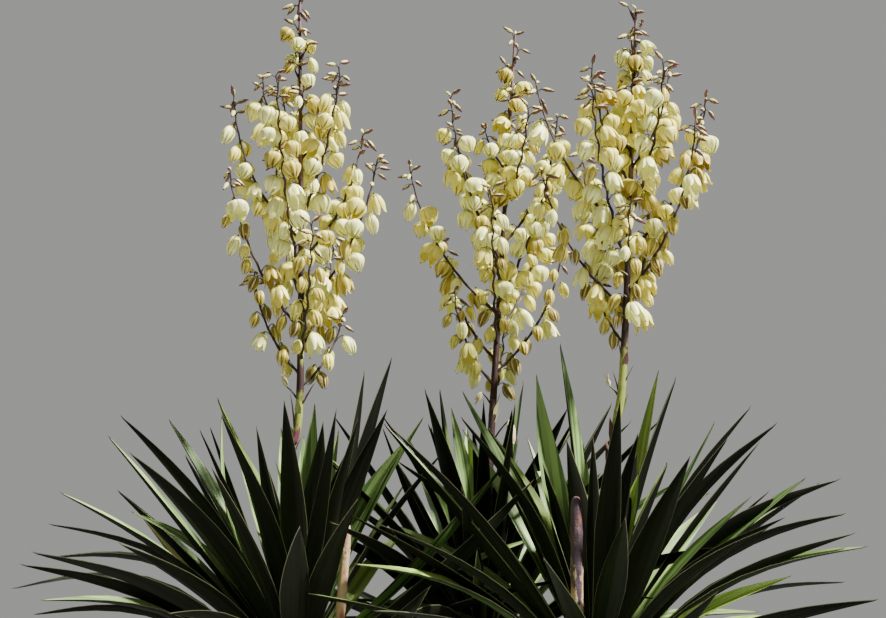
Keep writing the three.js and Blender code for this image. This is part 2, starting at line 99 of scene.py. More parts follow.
# The three heads, as in the solids.
# lead: angle across the view, reach, turn and droop of an outline leaf.
# rolls: turn of an outline leaf about its own length, where it isn't left to chance.
# odd: further leaves as the outline's, with their share of the full width, their age and their turn.
# peeled: how far below its top a cut stalk has lost half of its skin.
# dark: how far down from its first branch the stalk stays dark, painted shade where the stalk stands in
# shadow.
# withered: distance under the first branch of a dead bell's twig, its bearing, the bell's rise and its size.
# bracts: distance under the first branch of a long bract, its bearing, rise and reach, and if it is green.
HEADS = (
    SimpleNamespace(
        name="left",
        seed=11,
        phase=20,
        centre=places((-364, -80, 1729)),
        bough=places([(-32, -12, 845), (-185, -60, 1085), (-322, -84, 1350)]),
        stalk=places([(-398, -80, 2133), (-370, -80, 2290), (-388, -80, 3252)]),
        cut=places([(-328, -92, 1400), (-288, -136, 1590), (-256, -150, 1980)]),
        cut_radii=(15 * MM, 9.5 * MM),
        peeled=-50 * MM,
        dark=0,
        withered=((30, 190, 70, 0.8),),
        bracts=((32, 350, 60, 58, False), (88, 200, 82, 84, False), (102, 340, 84, 70, False)),
        lead=(
            (171, 555, 12, 32), (169, 638, 0, 38), (161, 625, -12, 40), (155, 597, 9, 34),
            (142, 482, -6, 22), (133, 621, 5, 8), (121, 590, -8, 5), (109, 571, 10, 6),
            (88, 538, 40, 0), (77, 618, -14, -4), (73, 677, 10, 0),
        ),
        rolls={4: -30, 5: -14, 6: -22, 7: -16},
        odd=(
            ((146, 575, -34, 0), 0.4, OLD, -70),
            ((111, 524, 28, -22), 0.42, GROWN, -50),
            ((96, 470, -30, 4), 0.5, YOUNG, 0),
            ((63, 520, 16, 6), 0.95, GROWN, 80),
            ((72, 560, 24, 0), 0.8, GROWN, 95),
            ((65, 545, -34, 6), 1.0, GROWN, -25),
        ),
    ),
    SimpleNamespace(
        name="middle",
        seed=23,
        phase=75,
        centre=places((44, 220, 1784)),
        bough=places([(12, 58, 845), (30, 165, 1100), (42, 214, 1380)]),
        stalk=places([(58, 220, 2159), (69, 220, 2328), (130, 220, 3261)]),
        cut=None,
        cut_radii=None,
        peeled=0,
        # The middle stalk's lower length is painted dark as shade, where it stands in shadow behind the
        # leaves.
        dark=230 * MM,
        withered=((110, 345, -84, 1.9), (20, 200, -60, 0.8)),
        bracts=((22, 355, 72, 44, False), (56, 350, 66, 42, True)),
        lead=((100, 578, 8, 0), (98, 536, -14, 3), (81, 601, 0, 0)),
        rolls={1: -60},
        odd=(
            ((84, 430, 24, 0), 0.5, GROWN, 60),
            ((118, 470, 10, 4), 1.0, GROWN, -15),
            ((134, 430, -24, 12), 0.9, GROWN, -20),
        ),
    ),
    SimpleNamespace(
        name="right",
        seed=37,
        phase=140,
        centre=places((272, -120, 1716)),
        bough=places([(52, -22, 845), (168, -78, 1085), (250, -112, 1350)]),
        stalk=places([(325, -120, 2171), (352, -120, 2380), (398, -120, 3184)]),
        cut=places([(246, -134, 1390), (232, -186, 1580), (233, -200, 2033)]),
        cut_radii=(18 * MM, 12.5 * MM),
        peeled=195 * MM,
        dark=0,
        withered=((120, 190, 75, 0.5),),
        bracts=((78, 355, 62, 44, False), (18, 190, 80, 26, False), (150, 10, 78, 60, False)),
        lead=(
            (162, 553, 14, 26), (133, 665, 6, 6), (116, 639, -8, -3), (101, 611, 10, 2),
            (95, 678, -5, 0), (76, 635, 4, 3), (72, 618, -16, 6), (56, 657, 8, 8),
            (50, 629, -10, 14), (41, 544, 12, 12), (34, 648, -6, 22), (28, 644, 6, 28),
            (20, 622, -8, 26), (8, 482, 8, 34),
        ),
        rolls={3: -105, 4: -25, 7: -18, 8: -24, 9: -10},
        odd=(
            ((18, 455, -24, 10), 0.6, YOUNG, 75),
            ((72, 392, -38, 4), 0.9, YOUNG, 105),
            ((42, 470, -20, 6), 0.5, GROWN, 80),
        ),
    ),
)


def linear(code):
    """Linear colour of an sRGB hex value."""
    channels = [int(code[i : i + 2], 16) / 255 for i in (1, 3, 5)]
    return tuple(c / 12.92 if c <= 0.04045 else ((c + 0.055) / 1.055) ** 2.4 for c in channels)


def length(name, metres, description):
    """Length property with its default in metres."""
    return FloatProperty(name=name, description=description, default=metres, min=0, unit="LENGTH")


def tint(name, code, description):
    """Colour property with its default as an sRGB hex value."""
    return FloatVectorProperty(
        name=name, description=description, default=linear(code), min=0, max=1, subtype="COLOR"
    )


def chance(seed, index, channel):
    """Number from 0 to 1 that is always the same for the same seed, index and channel."""
    h = (seed * 374761393 + (index + 1) * 668265263 + (channel + 1) * 2246822519) & 0xFFFFFFFF
    h = ((h ^ (h >> 13)) * 1274126177) & 0xFFFFFFFF
    return (h ^ (h >> 16)) / 4294967296


def lerp(a, b, f):
    return a + (b - a) * f


def unit(v):
    return v / np.linalg.norm(v, axis=-1, keepdims=True)


def heading(bearing, rise):
    """Unit vectors at a bearing about Z and a rise above the level, each a number or an array of degrees."""
    b, r = np.broadcast_arrays(np.radians(bearing), np.radians(rise))
    return np.stack((np.cos(r) * np.cos(b), np.cos(r) * np.sin(b), np.sin(r)), axis=-1)


def aside(bearing):
    """Level unit vector square to a bearing."""
    return heading(bearing + 90, 0)


class Path:
    """Smooth path through a few places: a uniform Catmull-Rom curve."""

    def __init__(self, through):
        p = np.array(through, float)
        self.knots = np.vstack((2 * p[0] - p[1], p, 2 * p[-1] - p[-2]))
        self.stretches = len(p) - 1

    def at(self, t):
        """Places at shares of the path."""
        t = np.asarray(t, float) * self.stretches
        k = np.clip(np.floor(t).astype(int), 0, self.stretches - 1)
        w = (t - k)[..., None]
        a, b, c, d = (self.knots[k + i] for i in range(4))
        start, end = (c - a) / 2, (d - b) / 2
        return (
            (2 * w**3 - 3 * w**2 + 1) * b
            + (w**3 - 2 * w**2 + w) * start
            + (3 * w**2 - 2 * w**3) * c
            + (w**3 - w**2) * end
        )

    def way(self, t):
        """Unit vectors along the path at shares of it."""
        small = 1e-4
        t = np.asarray(t, float)
        return unit(self.at(np.minimum(t + small, 1)) - self.at(np.maximum(t - small, 0)))

    def length(self):
        """Length of the path in metres."""
        return np.linalg.norm(np.diff(self.at(np.linspace(0, 1, 200)), axis=0), axis=1).sum()


class Shape:
    """Points and faces of one piece, with a material number for each face and a flat map of the points."""

    def __init__(self):
        self.points, self.flat, self.quads, self.triangles = [], [], [], []
        self.quad_slots, self.triangle_slots = [], []
        self.count = 0

    def add(self, points, quads=(), triangles=(), quad_slots=0, triangle_slots=0, flat=None):
        """Adds a part. Faces count from its own first point. A slot is one number, or one for each face."""
        points = np.asarray(points, float).reshape(-1, 3)
        for faces, slots, kept, kept_slots, corners in (
            (quads, quad_slots, self.quads, self.quad_slots, 4),
            (triangles, triangle_slots, self.triangles, self.triangle_slots, 3),
        ):
            faces = np.asarray(faces, int).reshape(-1, corners)
            kept.append(faces + self.count)
            kept_slots.append(np.broadcast_to(slots, len(faces)))
        self.points.append(points)
        self.flat.append(np.zeros((len(points), 2)) if flat is None else np.asarray(flat).reshape(-1, 2))
        self.count += len(points)

    def make(self, name, materials, sharp):
        """Blender object of the shape, smooth but for edges sharper than an angle in degrees."""
        quads, triangles = np.vstack(self.quads), np.vstack(self.triangles)
        mesh = bpy.data.meshes.new(name)
        mesh.from_pydata(np.vstack(self.points).tolist(), [], quads.tolist() + triangles.tolist())
        slots = np.concatenate(self.quad_slots + self.triangle_slots)
        mesh.polygons.foreach_set("material_index", slots.astype(np.int32))
        for made in materials:
            mesh.materials.append(made)
        corner = np.zeros(len(mesh.loops), np.int32)
        mesh.loops.foreach_get("vertex_index", corner)
        flat = np.vstack(self.flat)[corner]
        mesh.uv_layers.new(name="flat").data.foreach_set("uv", flat.astype(np.float32).ravel())
        mesh.shade_smooth()
        mesh.set_sharp_from_angle(angle=math.radians(sharp))
        mesh.update()
        piece = bpy.data.objects.new(name, mesh)
        bpy.context.scene.collection.objects.link(piece)
        return piece


def finish_piece(piece, slot, *nodes):
    """Fixes a piece to the plant, in the place of its solids."""
    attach(piece, "root")
    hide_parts(*nodes)


def rings_along(centres, travels, side, radii, sides):
    """Rings of points square to the way of travel, each with its first point towards side."""
    t = unit(travels)
    s = unit(side - (t @ side)[:, None] * t)
    u = np.cross(t, s)
    a = 2 * np.pi * np.arange(sides) / sides
    circle = np.cos(a)[None, :, None] * s[:, None] + np.sin(a)[None, :, None] * u[:, None]
    radii = np.asarray(radii, float)
    return centres[:, None] + circle * (radii[:, None] if radii.ndim == 1 else radii)[..., None]


def loft(shape, rings, slots=0, end=None, flat=None, end_slots=None, turned=None):
    """Skin over rings of points. It closes on flat faces about the middles of the end rings, or on a tip.

    Quads of the turned columns start at their second corner, so that both sides of a thin blade fold alike.
    """
    count, sides = rings.shape[:2]
    i = np.arange(sides)
    j = (i + 1) % sides
    k = np.arange(count - 1)[:, None] * sides
    quads = np.stack((k + i, k + j, k + sides + j, k + sides + i), axis=-1)
    if turned is not None:
        quads[:, turned] = np.roll(quads[:, turned], -1, axis=-1)
    quads = quads.reshape(-1, 4)
    last = rings[-1].mean(0) if end is None else end
    hub, top = count * sides, (count - 1) * sides
    triangles = np.vstack(
        (
            np.stack((np.full(sides, hub), j, i), axis=-1),
            np.stack((np.full(sides, hub + 1), top + i, top + j), axis=-1),
        )
    )
    slots = np.broadcast_to(slots, (count - 1, sides))
    ends = np.concatenate((slots[0], slots[-1])) if end_slots is None else np.repeat(end_slots, sides)
    if flat is not None:
        flat = np.vstack((flat.reshape(-1, 2), flat[0].mean(0), flat[-1].mean(0)))
    points = np.vstack((rings.reshape(-1, 3), rings[0].mean(0), last))
    shape.add(points, quads, triangles, slots.reshape(-1), ends, flat)


def rough(points, size, seed):
    """Smooth noise from -1 to 1 at places, with lumps of a size in metres."""
    shift = Vector((seed * 7.3, seed * 3.1, seed * 5.7))
    found = [noise.noise(Vector(p) / size + shift) for p in points.reshape(-1, 3)]
    return np.array(found).reshape(points.shape[:-1])


# Materials

# Numbers of the colour sockets of a mix node, two in and one out
MIX_FROM, MIX_TO, MIXED = 6, 7, 2


def node(tree, kind, settings=(), links=()):
    """Adds a node, sets its options and its sockets by name or number, and links them, each to an output."""
    made = tree.nodes.new(kind)
    for name, value in dict(settings).items():
        if isinstance(name, int) or name in made.inputs:
            made.inputs[name].default_value = value
        else:
            setattr(made, name, value)
    for name, (source, output) in dict(links).items():
        tree.links.new(source.outputs[output], made.inputs[name])
    return made


def surface(name, colour, roughness, ior=1.45, **settings):
    """New material with its shader. Returns the material, its node tree and the shader."""
    made = bpy.data.materials.new(name)
    made.use_nodes = True
    tree = made.node_tree
    shader = tree.nodes["Principled BSDF"]
    values = {"Base Color": (*colour, 1), "Roughness": roughness, "IOR": ior, **settings}
    for socket, value in values.items():
        shader.inputs[socket].default_value = value
    return made, tree, shader


def per(millimetres):
    """Scale of a pattern whose features are that many millimetres wide."""
    return 1000 / millimetres


def mottle(tree, shader, colours, size, stretch, low, high, detail, place=None, lean=None):
    """Mixes two colours on a shader by soft noise with lumps of a size in millimetres, and returns the mix.

    The noise runs from the first colour at low to the second at high. The second colour gains by lean for
    each metre of Z from the height given with it.
    """
    place = place or (node(tree, "ShaderNodeTexCoord"), "Object")
    moved = node(tree, "ShaderNodeMapping", {"Scale": stretch}, {"Vector": place})
    settings = {"Scale": per(size), "Detail": detail, "Roughness": 0.6}
    grain = node(tree, "ShaderNodeTexNoise", settings, {"Vector": (moved, 0)})
    level = (grain, "Fac")
    if lean is not None:
        slope, start = lean
        low, high = low + slope * start, high + slope * start
        height = node(tree, "ShaderNodeSeparateXYZ", {}, {"Vector": place})
        links = {0: (height, "Z"), 2: level}
        level = node(tree, "ShaderNodeMath", {"operation": "MULTIPLY_ADD", 1: slope}, links), 0
    settings = {"From Min": low, "From Max": high, "interpolation_type": "SMOOTHSTEP"}
    share = node(tree, "ShaderNodeMapRange", settings, {"Value": level})
    settings = {"data_type": "RGBA", MIX_FROM: (*colours[0], 1), MIX_TO: (*colours[1], 1)}
    mixed = node(tree, "ShaderNodeMix", settings, {0: (share, 0)})
    tree.links.new(mixed.outputs[MIXED], shader.inputs["Base Color"])
    return mixed


def leaf_blade(name, light, dark, roughness, level):
    """Leathery yucca blade: fine ribs run its whole length, under a wax that dulls the gloss.

    Real ribs are 1 to 2 mm wide. They are drawn 6.5 mm wide, as coarse as they need to be to show.
    """
    made, tree, shader = surface(name, light, roughness, **{"Specular IOR Level": level})
    flat = node(tree, "ShaderNodeUVMap", {"uv_map": "flat"})
    mottle(tree, shader, (light, dark), 6.5, (1, 0.015, 1), 0.42, 0.6, 1, place=(flat, 0))
    return made


def plain(name, colour, roughness):
    """Material of one even colour, for parts only a few pixels wide."""
    return surface(name, colour, roughness)[0]


def petal(name, colour):
    """Waxy tepal: thin living tissue that lets warm light through, with a soft sheen on its outer side."""
    return surface(
        name, colour, 0.42, 1.4,
        **{
            "Subsurface Weight": 0.12,
            "Subsurface Radius": (1.0, 0.8, 0.25),
            "Subsurface Scale": 5 * MM,
            "Specular IOR Level": 0.4,
        },
    )[0]


def corky_bark(looks):
    """Weathered corky bark: dull grey-brown scales with dark clefts, where old leaves have dropped."""
    made, tree, shader = surface("corky_bark", looks.scale, 0.92, **{"Specular IOR Level": 0.2})
    mixed = mottle(tree, shader, (looks.scale, looks.weathered), 45, (1, 1, 0.6), 0.38, 0.62, 6)
    depth = node(tree, "ShaderNodeAttribute", {"attribute_name": "relief"})
    share = node(tree, "ShaderNodeMapRange", {"From Min": 0.05, "From Max": 0.55}, {"Value": (depth, "Fac")})
    links = {0: (share, 0), MIX_TO: (mixed, MIXED)}
    clefts = node(tree, "ShaderNodeMix", {"data_type": "RGBA", MIX_FROM: (*looks.cleft, 1)}, links)
    tree.links.new(clefts.outputs[MIXED], shader.inputs["Base Color"])
    place = (node(tree, "ShaderNodeTexCoord"), "Object")
    settings = {"Scale": per(4), "Detail": 5, "Roughness": 0.7}
    fibres = node(tree, "ShaderNodeTexNoise", settings, {"Vector": place})
    raised = node(tree, "ShaderNodeBump", {"Strength": 0.8, "Distance": 1.6 * MM}, {"Height": (fibres, 0)})
    tree.links.new(raised.outputs[0], shader.inputs["Normal"])
    return made


def dry_stalk(name, looks, peeled, top):
    """Dead stalk: purple-brown skin that peels to pale tan, more so down from its top, with rusty stains."""
    made, tree, shader = surface(name, looks.skin, 0.55, **{"Specular IOR Level": 0.45})
    low = 0.48 + PEELING * peeled
    colours = (looks.skin, looks.flake)
    mixed = mottle(tree, shader, colours, 22, (1, 1, 0.32), low, low + 0.05, 5, lean=(-PEELING, top))
    place = (node(tree, "ShaderNodeTexCoord"), "Object")
    drawn_out = node(tree, "ShaderNodeMapping", {"Scale": (1, 1, 0.25)}, {"Vector": place})
    stain = node(tree, "ShaderNodeTexNoise", {"Scale": per(18), "Detail": 3}, {"Vector": (drawn_out, 0)})
    share = node(tree, "ShaderNodeMapRange", {"From Min": 0.52, "From Max": 0.68}, {"Value": (stain, "Fac")})
    links = {0: (share, 0), MIX_FROM: (mixed, MIXED)}
    rusty = node(tree, "ShaderNodeMix", {"data_type": "RGBA", MIX_TO: (*looks.stain, 1)}, links)
    tree.links.new(rusty.outputs[MIXED], shader.inputs["Base Color"])
    grain = node(tree, "ShaderNodeTexNoise", {"Scale": per(5), "Detail": 4}, {"Vector": place})
    raised = node(tree, "ShaderNodeBump", {"Strength": 0.8, "Distance": 1.2 * MM}, {"Height": (grain, 0)})
    tree.links.new(raised.outputs[0], shader.inputs["Normal"])
    return made


# Bark of the trunk and boughs

BARK, LEAF_FOOT = 0, 1
RING_STEP = 4.5 * MM
# Height in millimetres from which the trunk's rings stand closer, and their step there
CLOSER_FROM, CLOSER_STEP = 860, 3.2
TRUNK_SIDES, BOUGH_SIDES = 96, 64
FISSURES_FADE = 260 * MM
BOUGH_FISSURED = 0.12
STUBS = 46
# Widths of the lumps, worn places, drift of the scar rows, clefts and grit in the bark's relief
LUMP, WORN, DRIFT, CLEFT, GRIT = 70 * MM, 50 * MM, 60 * MM, 22 * MM, 9 * MM
LUMP_HEIGHT, GRIT_HEIGHT = 3 * MM, 0.9 * MM


class BarkLooks(bpy.types.PropertyGroup):
    """Sizes and colours of the bark."""

    scar_height: length("Scar spacing", 12 * MM, "Height of one row of leaf scars")
    scar_width: length("Scar width", 36 * MM, "Width of one leaf scar round the limb")
    lip: length("Scar lip", 3.4 * MM, "How far the lip of a leaf scar stands out")
    fissure: length("Fissure depth", 7 * MM, "Depth of the long clefts near the ground")
    scale: tint("Bark", "#62564a", "Grey-brown of the corky scales")
    weathered: tint("Weathered bark", "#7a6f62", "Paler grey of bark that faces the weather")
    cleft: tint("Clefts", "#33291f", "Dark brown between the scales")
    stub: tint("Leaf stubs", "#705e47", "Straw brown of old leaf feet under a head")


def trunk_radius(z):
    """Radius of the trunk at heights."""
    taper = lerp(*TRUNK_RADII, z / TRUNK_HEIGHT)
    flare = FLARE.radius * np.exp(-z / FLARE.height)
    swell = FORK.radius * np.exp(-(((z - FORK.at) / FORK.spread) ** 2))
    rounding = np.maximum(z - FORK.at, 0) / (TRUNK_HEIGHT - FORK.at + FORK.cap)
    return (taper + flare + swell) * np.sqrt(1 - rounding**2)


def scar_relief(looks, along, around, girth, drift):
    """Relief of crescent leaf scars in rows that climb round a limb and drift out of line, from 0 to 1."""
    columns = max(round(girth / looks.scar_width), 6)
    turn = around[None, :] / (2 * np.pi)
    climb = along[:, None] / looks.scar_height + 2 * turn + 1.5 * drift
    column = (columns * turn + 0.5 * np.floor(climb) + 0.6 * drift) % 1
    bow = 0.5 * (2 * column - 1) ** 2
    rise = (climb + bow) % 1
    return rise**1.4 * (1 - 0.35 * (2 * column - 1) ** 4)


def add_bark(shape, depths, looks, centres, travels, side, radii, lobes, seed, fissured):
    """Bark of one limb: rings with scars, lumps and, where fissured is over 0, long clefts."""
    sides = lobes.shape[1]
    around = 2 * np.pi * np.arange(sides) / sides
    along = np.concatenate(((0,), np.cumsum(np.linalg.norm(np.diff(centres, axis=0), axis=1))))
    skin = rings_along(centres, travels, side, radii[:, None] * lobes, sides)
    lumps = rough(skin, LUMP, seed)
    worn = np.clip(0.75 + 0.6 * rough(skin, WORN, seed + 1), 0.15, 1.2)
    stretched = skin * (1, 1, 0.22)
    clefts = np.abs(rough(stretched, CLEFT, seed + 2)) ** 0.6
    scars = scar_relief(looks, along, around, 2 * np.pi * radii.mean(), rough(skin, DRIFT, seed + 4))
    grit = rough(skin, GRIT, seed + 3)
    relief = scars * worn * (1 - 0.6 * fissured[:, None])
    raised = (
        looks.lip * (relief - 0.4)
        + looks.fissure * fissured[:, None] * (np.clip(clefts, 0, 1) - 0.6)
        + LUMP_HEIGHT * lumps
        + GRIT_HEIGHT * grit
    )
    closing = np.clip(radii / radii.max() * 2.5, 0, 1)[:, None]
    skin = rings_along(centres, travels, side, radii[:, None] * lobes + raised * closing, sides)
    depth = np.clip(relief + fissured[:, None] * (clefts - 0.25) + 0.25 + 0.25 * grit, 0, 1)
    depths.append(np.concatenate((depth.ravel(), (0.5, 0.5))))
    loft(shape, skin, BARK)


def make_bark(name, shape, depths, materials):
    """Bark piece that keeps its depth at each point, for the colour of its clefts."""
    piece = shape.make(name, materials, 60)
    kept = piece.data.attributes.new("relief", "FLOAT", "POINT")
    kept.data.foreach_set("value", np.concatenate(depths).astype(np.float32))
    return piece


def bough_path(head):
    """Way of a bough from inside the fork up to its head."""
    return Path(np.vstack((head.bough, head.centre + UP * (STEM_FOOT - GAP))))


class YUCCA_OT_bark(bpy.types.Operator):
    """Clothes the trunk and the three boughs in corky bark with leaf scars"""

    bl_idname = "yucca.bark"
    bl_label = "Trunk and boughs"

    def execute(self, context):
        looks = context.scene.yucca_bark
        materials = [corky_bark(looks), plain("dry_leaf_foot", looks.stub, 0.85)]
        self.trunk(looks, materials)
        for head in HEADS:
            self.bough(looks, head, materials)
        return {"FINISHED"}

    def trunk(self, looks, materials):
        """Trunk from its flat foot over the round top of the fork, where its rings stand closer."""
        lower = np.arange(0, CLOSER_FROM, RING_STEP / MM)
        upper = np.arange(CLOSER_FROM + 1, round(TRUNK_HEIGHT / MM), CLOSER_STEP)
        z = np.concatenate((lower, upper)) * MM
        around = 2 * np.pi * np.arange(TRUNK_SIDES) / TRUNK_SIDES
        f = (z / TRUNK_HEIGHT) ** 2
        centres = np.stack((TRUNK_LEAN[0] * f, TRUNK_LEAN[1] * f, z), axis=-1)
        depth = FLARE.lobe * np.exp(-z / FLARE.lobe_height)[:, None]
        lobes = 1 + depth * np.cos(3 * around + 0.6) * np.cos(2 * around)
        fissured = np.exp(-z / FISSURES_FADE)
        shape, depths = Shape(), []
        travels = np.tile(UP, (len(z), 1))
        add_bark(shape, depths, looks, centres, travels, EAST, trunk_radius(z), lobes, 3, fissured)
        piece = make_bark("trunk_bark", shape, depths, materials)
        finish_piece(piece, "bark", "trunk")

    def bough(self, looks, head, materials):
        """Bough that rises out of the fork, with the stubs of old leaves just under its head."""
        path = bough_path(head)
        t = np.linspace(0, 1, round(path.length() / RING_STEP))
        collar = 9 * MM * np.exp(-((t / 0.16) ** 2))
        radii = lerp(*BOUGH_RADII, t) + collar
        side = aside(math.degrees(math.atan2(head.centre[1], head.centre[0])))
        shape, depths = Shape(), []
        lobes = np.ones((len(t), BOUGH_SIDES))
        fissured = np.full(len(t), BOUGH_FISSURED)
        add_bark(shape, depths, looks, path.at(t), path.way(t), side, radii, lobes, head.seed, fissured)
        self.stubs(shape, depths, head, path)
        piece = make_bark(head.name + "_bough_bark", shape, depths, materials)
        finish_piece(piece, "bark", head.name + "_bough")

    def stubs(self, shape, depths, head, path):
        """Dry feet of old leaves, in the leaf spiral, that thin out down the bough."""
        for i in range(STUBS):
            share = i / STUBS
            t = lerp(0.985, 0.8, share**1.3)
            bearing = head.phase - GOLDEN_ANGLE * i
            reach = lerp(46, 16, share) * (0.7 + 0.6 * chance(head.seed, i, 31)) * MM
            rise = lerp(28, 62, chance(head.seed, i, 32))
            foot = path.at(t) + heading(bearing, 0) * (lerp(*BOUGH_RADII, t) - 4 * MM)
            before = shape.count
            way = heading(bearing, rise)
            add_scale(shape, foot, way, aside(bearing), reach, 30 * MM, 5 * MM, LEAF_FOOT, 0.45)
            depths.append(np.full(shape.count - before, 0.5))


def add_scale(shape, foot, way, side, reach, width, thick, slot, blunt=0.0):
    """Small pointed scale or bract, with a ragged end where it is blunt."""
    up = np.cross(way, side)
    rings = []
    for t, share in ((0, 0.8), (0.35, 1.0), (0.75, lerp(0.5, 1.0, blunt))):
        middle = foot + way * reach * t + up * 0.12 * reach * t * (1 - t)
        half = side * width * share / 2
        ridge = up * thick * (1 - 0.6 * t) / 2
        rings.append((middle + half, middle + ridge, middle - half, middle - ridge))
    loft(shape, np.array(rings), slot, end=foot + way * reach * lerp(1, 0.86, blunt))


# Old cut stalks

DRY_SKIN, DRY_PITH = 0, 1
CUT_SIDES = 26
CUT_JOINT = 52 * MM
SHRIVELLED_END = 22 * MM
# Width and height of the lumps in the dry skin
SKIN_LUMP, SKIN_LUMP_HEIGHT = 9 * MM, 0.8 * MM
# How fast the peeled share grows for each metre down from the top
PEELING = 1.7


class DryLooks(bpy.types.PropertyGroup):
    """Colours of the old cut stalks."""

    skin: tint("Dry skin", "#43313a", "Purple-brown skin")
    flake: tint("Peeled", "#ad8e6e", "Pale tan where the skin has peeled")
    stain: tint("Stains", "#8a5130", "Rusty brown stains")
    pith: tint("Pith", "#7c5544", "Red-brown of the shrivelled cut end")


class YUCCA_OT_cut_stalks(bpy.types.Operator):
    """Makes the two old flower stalks that were cut off beside their heads"""

    bl_idname = "yucca.cut_stalks"
    bl_label = "Cut stalks"

    def execute(self, context):
        looks = context.scene.yucca_dry
        pith = plain("dry_pith", looks.pith, 0.9)
        for head in HEADS:
            if head.cut is not None:
                skin = dry_stalk(head.name + "_weathered_stalk_skin", looks, head.peeled, head.cut[-1][2])
                self.stalk(head, [skin, pith])
        return {"FINISHED"}

    def stalk(self, head, materials):
        """One stalk, shrunken between its joints, with a shrivelled round end and stubs of its bracts."""
        path = Path(head.cut)
        t = np.append(np.linspace(0.02, 0.98, 150), np.linspace(0.983, 1, 7))
        around = 2 * np.pi * np.arange(CUT_SIDES) / CUT_SIDES
        along = t * path.length()
        joint = np.exp(-(((along / CUT_JOINT) % 1 - 0.5) ** 2) / 0.012)
        shrivelled = np.clip((along - along[-1]) / SHRIVELLED_END + 1, 0, 1)
        radii = lerp(*head.cut_radii, t) * (0.97 + 0.08 * joint) * np.sqrt(1 - 0.78 * shrivelled**2)
        wide_furrows = 0.035 * np.cos(7 * around + 9 * t[:, None])
        narrow_furrows = 0.02 * np.cos(13 * around - 5 * t[:, None])
        radii = radii[:, None] * (1 + wide_furrows + narrow_furrows)
        centres, travels = path.at(t), path.way(t)
        lumps = rough(rings_along(centres, travels, EAST, radii, CUT_SIDES), SKIN_LUMP, head.seed)
        skin = rings_along(centres, travels, EAST, radii + SKIN_LUMP_HEIGHT * lumps, CUT_SIDES)
        shape = Shape()
        rim = skin[-1] * 0.55 + skin[-1].mean(0) * 0.45 + UP * 1 * MM
        slots = np.full((len(t), CUT_SIDES), DRY_SKIN)
        slots[-1] = DRY_PITH
        loft(shape, np.concatenate((skin, rim[None])), slots, end_slots=(DRY_SKIN, DRY_PITH))
        for k in range(1, int(path.length() / CUT_JOINT)):
            where = (k + 0.5) * CUT_JOINT / path.length()
            bearing = head.phase + GOLDEN_ANGLE * k
            foot = path.at(where) + heading(bearing, 0) * lerp(*head.cut_radii, where) * 0.9
            way = heading(bearing, 74)
            add_scale(shape, foot, way, aside(bearing), 16 * MM, 13 * MM, 2 * MM, DRY_SKIN)
        piece = shape.make(head.name + "_dry_stalk", materials, 45)
        finish_piece(piece, "dry_stalk", head.name + "_cut_stalk")


# Leaves


class LeafLooks(bpy.types.PropertyGroup):
    """Sizes and colours of the sword leaves."""

    width: length("Width", 61 * MM, "Widest part of a blade")
    thickness: length("Thickness", 3.6 * MM, "Thickness along the middle of a blade")
    margin: length("Pale edge", 0.6 * MM, "Width of the thin pale edge")
    channel: FloatProperty(name="Channel", description="Depth of the channel by half its width", default=0.3)
    upper: tint("Upper side", "#7f9855", "Green of the upper side")
    upper_rib: tint("Upper ribs", "#4a6330", "Darker green between the ribs above")
    # Under side and under ribs: painted shade, darkened to near black as blades lying in shadow look.
    under: tint("Under side", "#14160d", "Dark green of the under side")
    painted_shade_under_rib: tint("Under ribs", "#0d0f08", "Darker green between the ribs below")
    fresh: tint("Young blade", "#97b04e", "Yellow-green of young blades")
    fresh_rib: tint("Young ribs", "#6c8736", "Darker green between the ribs of young blades")
    old: tint("Old blade", "#98924f", "Dull yellow of old low blades")
    edge: tint("Edge", "#55553a", "Thin pale edge")
    spine: tint("Spine", "#4b3020", "Brown spine at the tip")
    foot: tint("Foot", "#b8bd8c", "Pale foot where a blade clasps the stem")


BLADE_STATIONS = np.array((0, 0.04, 0.1, 0.18, 0.27, 0.36, 0.46, 0.56, 0.66, 0.75, 0.83, 0.9, 0.95, 0.98))
WIDEST = 0.46
# The first station from which a blade keeps clear of the stalks
CLEAR_FROM = 3
# How far each station looks along its blade for limbs, by the blade's length, and the room over and under it
WATCHED, CLEARANCE = 0.06, 3 * MM
# Slots of the materials. Each age of blade has an upper and an under side, and the under sides carry painted
# shade.
UPPER, UNDER, EDGE, SPINE, FOOT = 0, 1, 6, 7, 8
# Numbers for chance of the first outline leaf and of the first odd one after it
LEAD_FROM, ODD_FROM = 500, 40
# Old blades stand in the outermost tenth of a spiral and are three in ten of it. Above a luck, one is young.
OLDEST, OLD_SHARE, YOUNG_LUCK = 0.1, 0.3, 0.84


def tier_span(tier):
    """Foot and top of one tier's length of the leafy stem, above the head's centre."""
    height = (STEM_TOP - STEM_FOOT) / len(TIERS)
    foot = STEM_FOOT + tier * height
    return foot, foot + height - GAP


def stem_radius(z):
    """Radius of the leafy stem at a height above the head's centre."""
    return lerp(*STEM_RADII, (z - STEM_FOOT) / (STEM_TOP - STEM_FOOT))


def leaf_seat(share):
    """Tier and height of a leaf, by its share of the way from outermost to innermost."""
    tier = min(math.floor(share * len(TIERS)), len(TIERS) - 1)
    foot, top = tier_span(tier)
    return tier, lerp(foot + LOWEST_SEAT, top - HIGHEST_SEAT, share * len(TIERS) - tier)


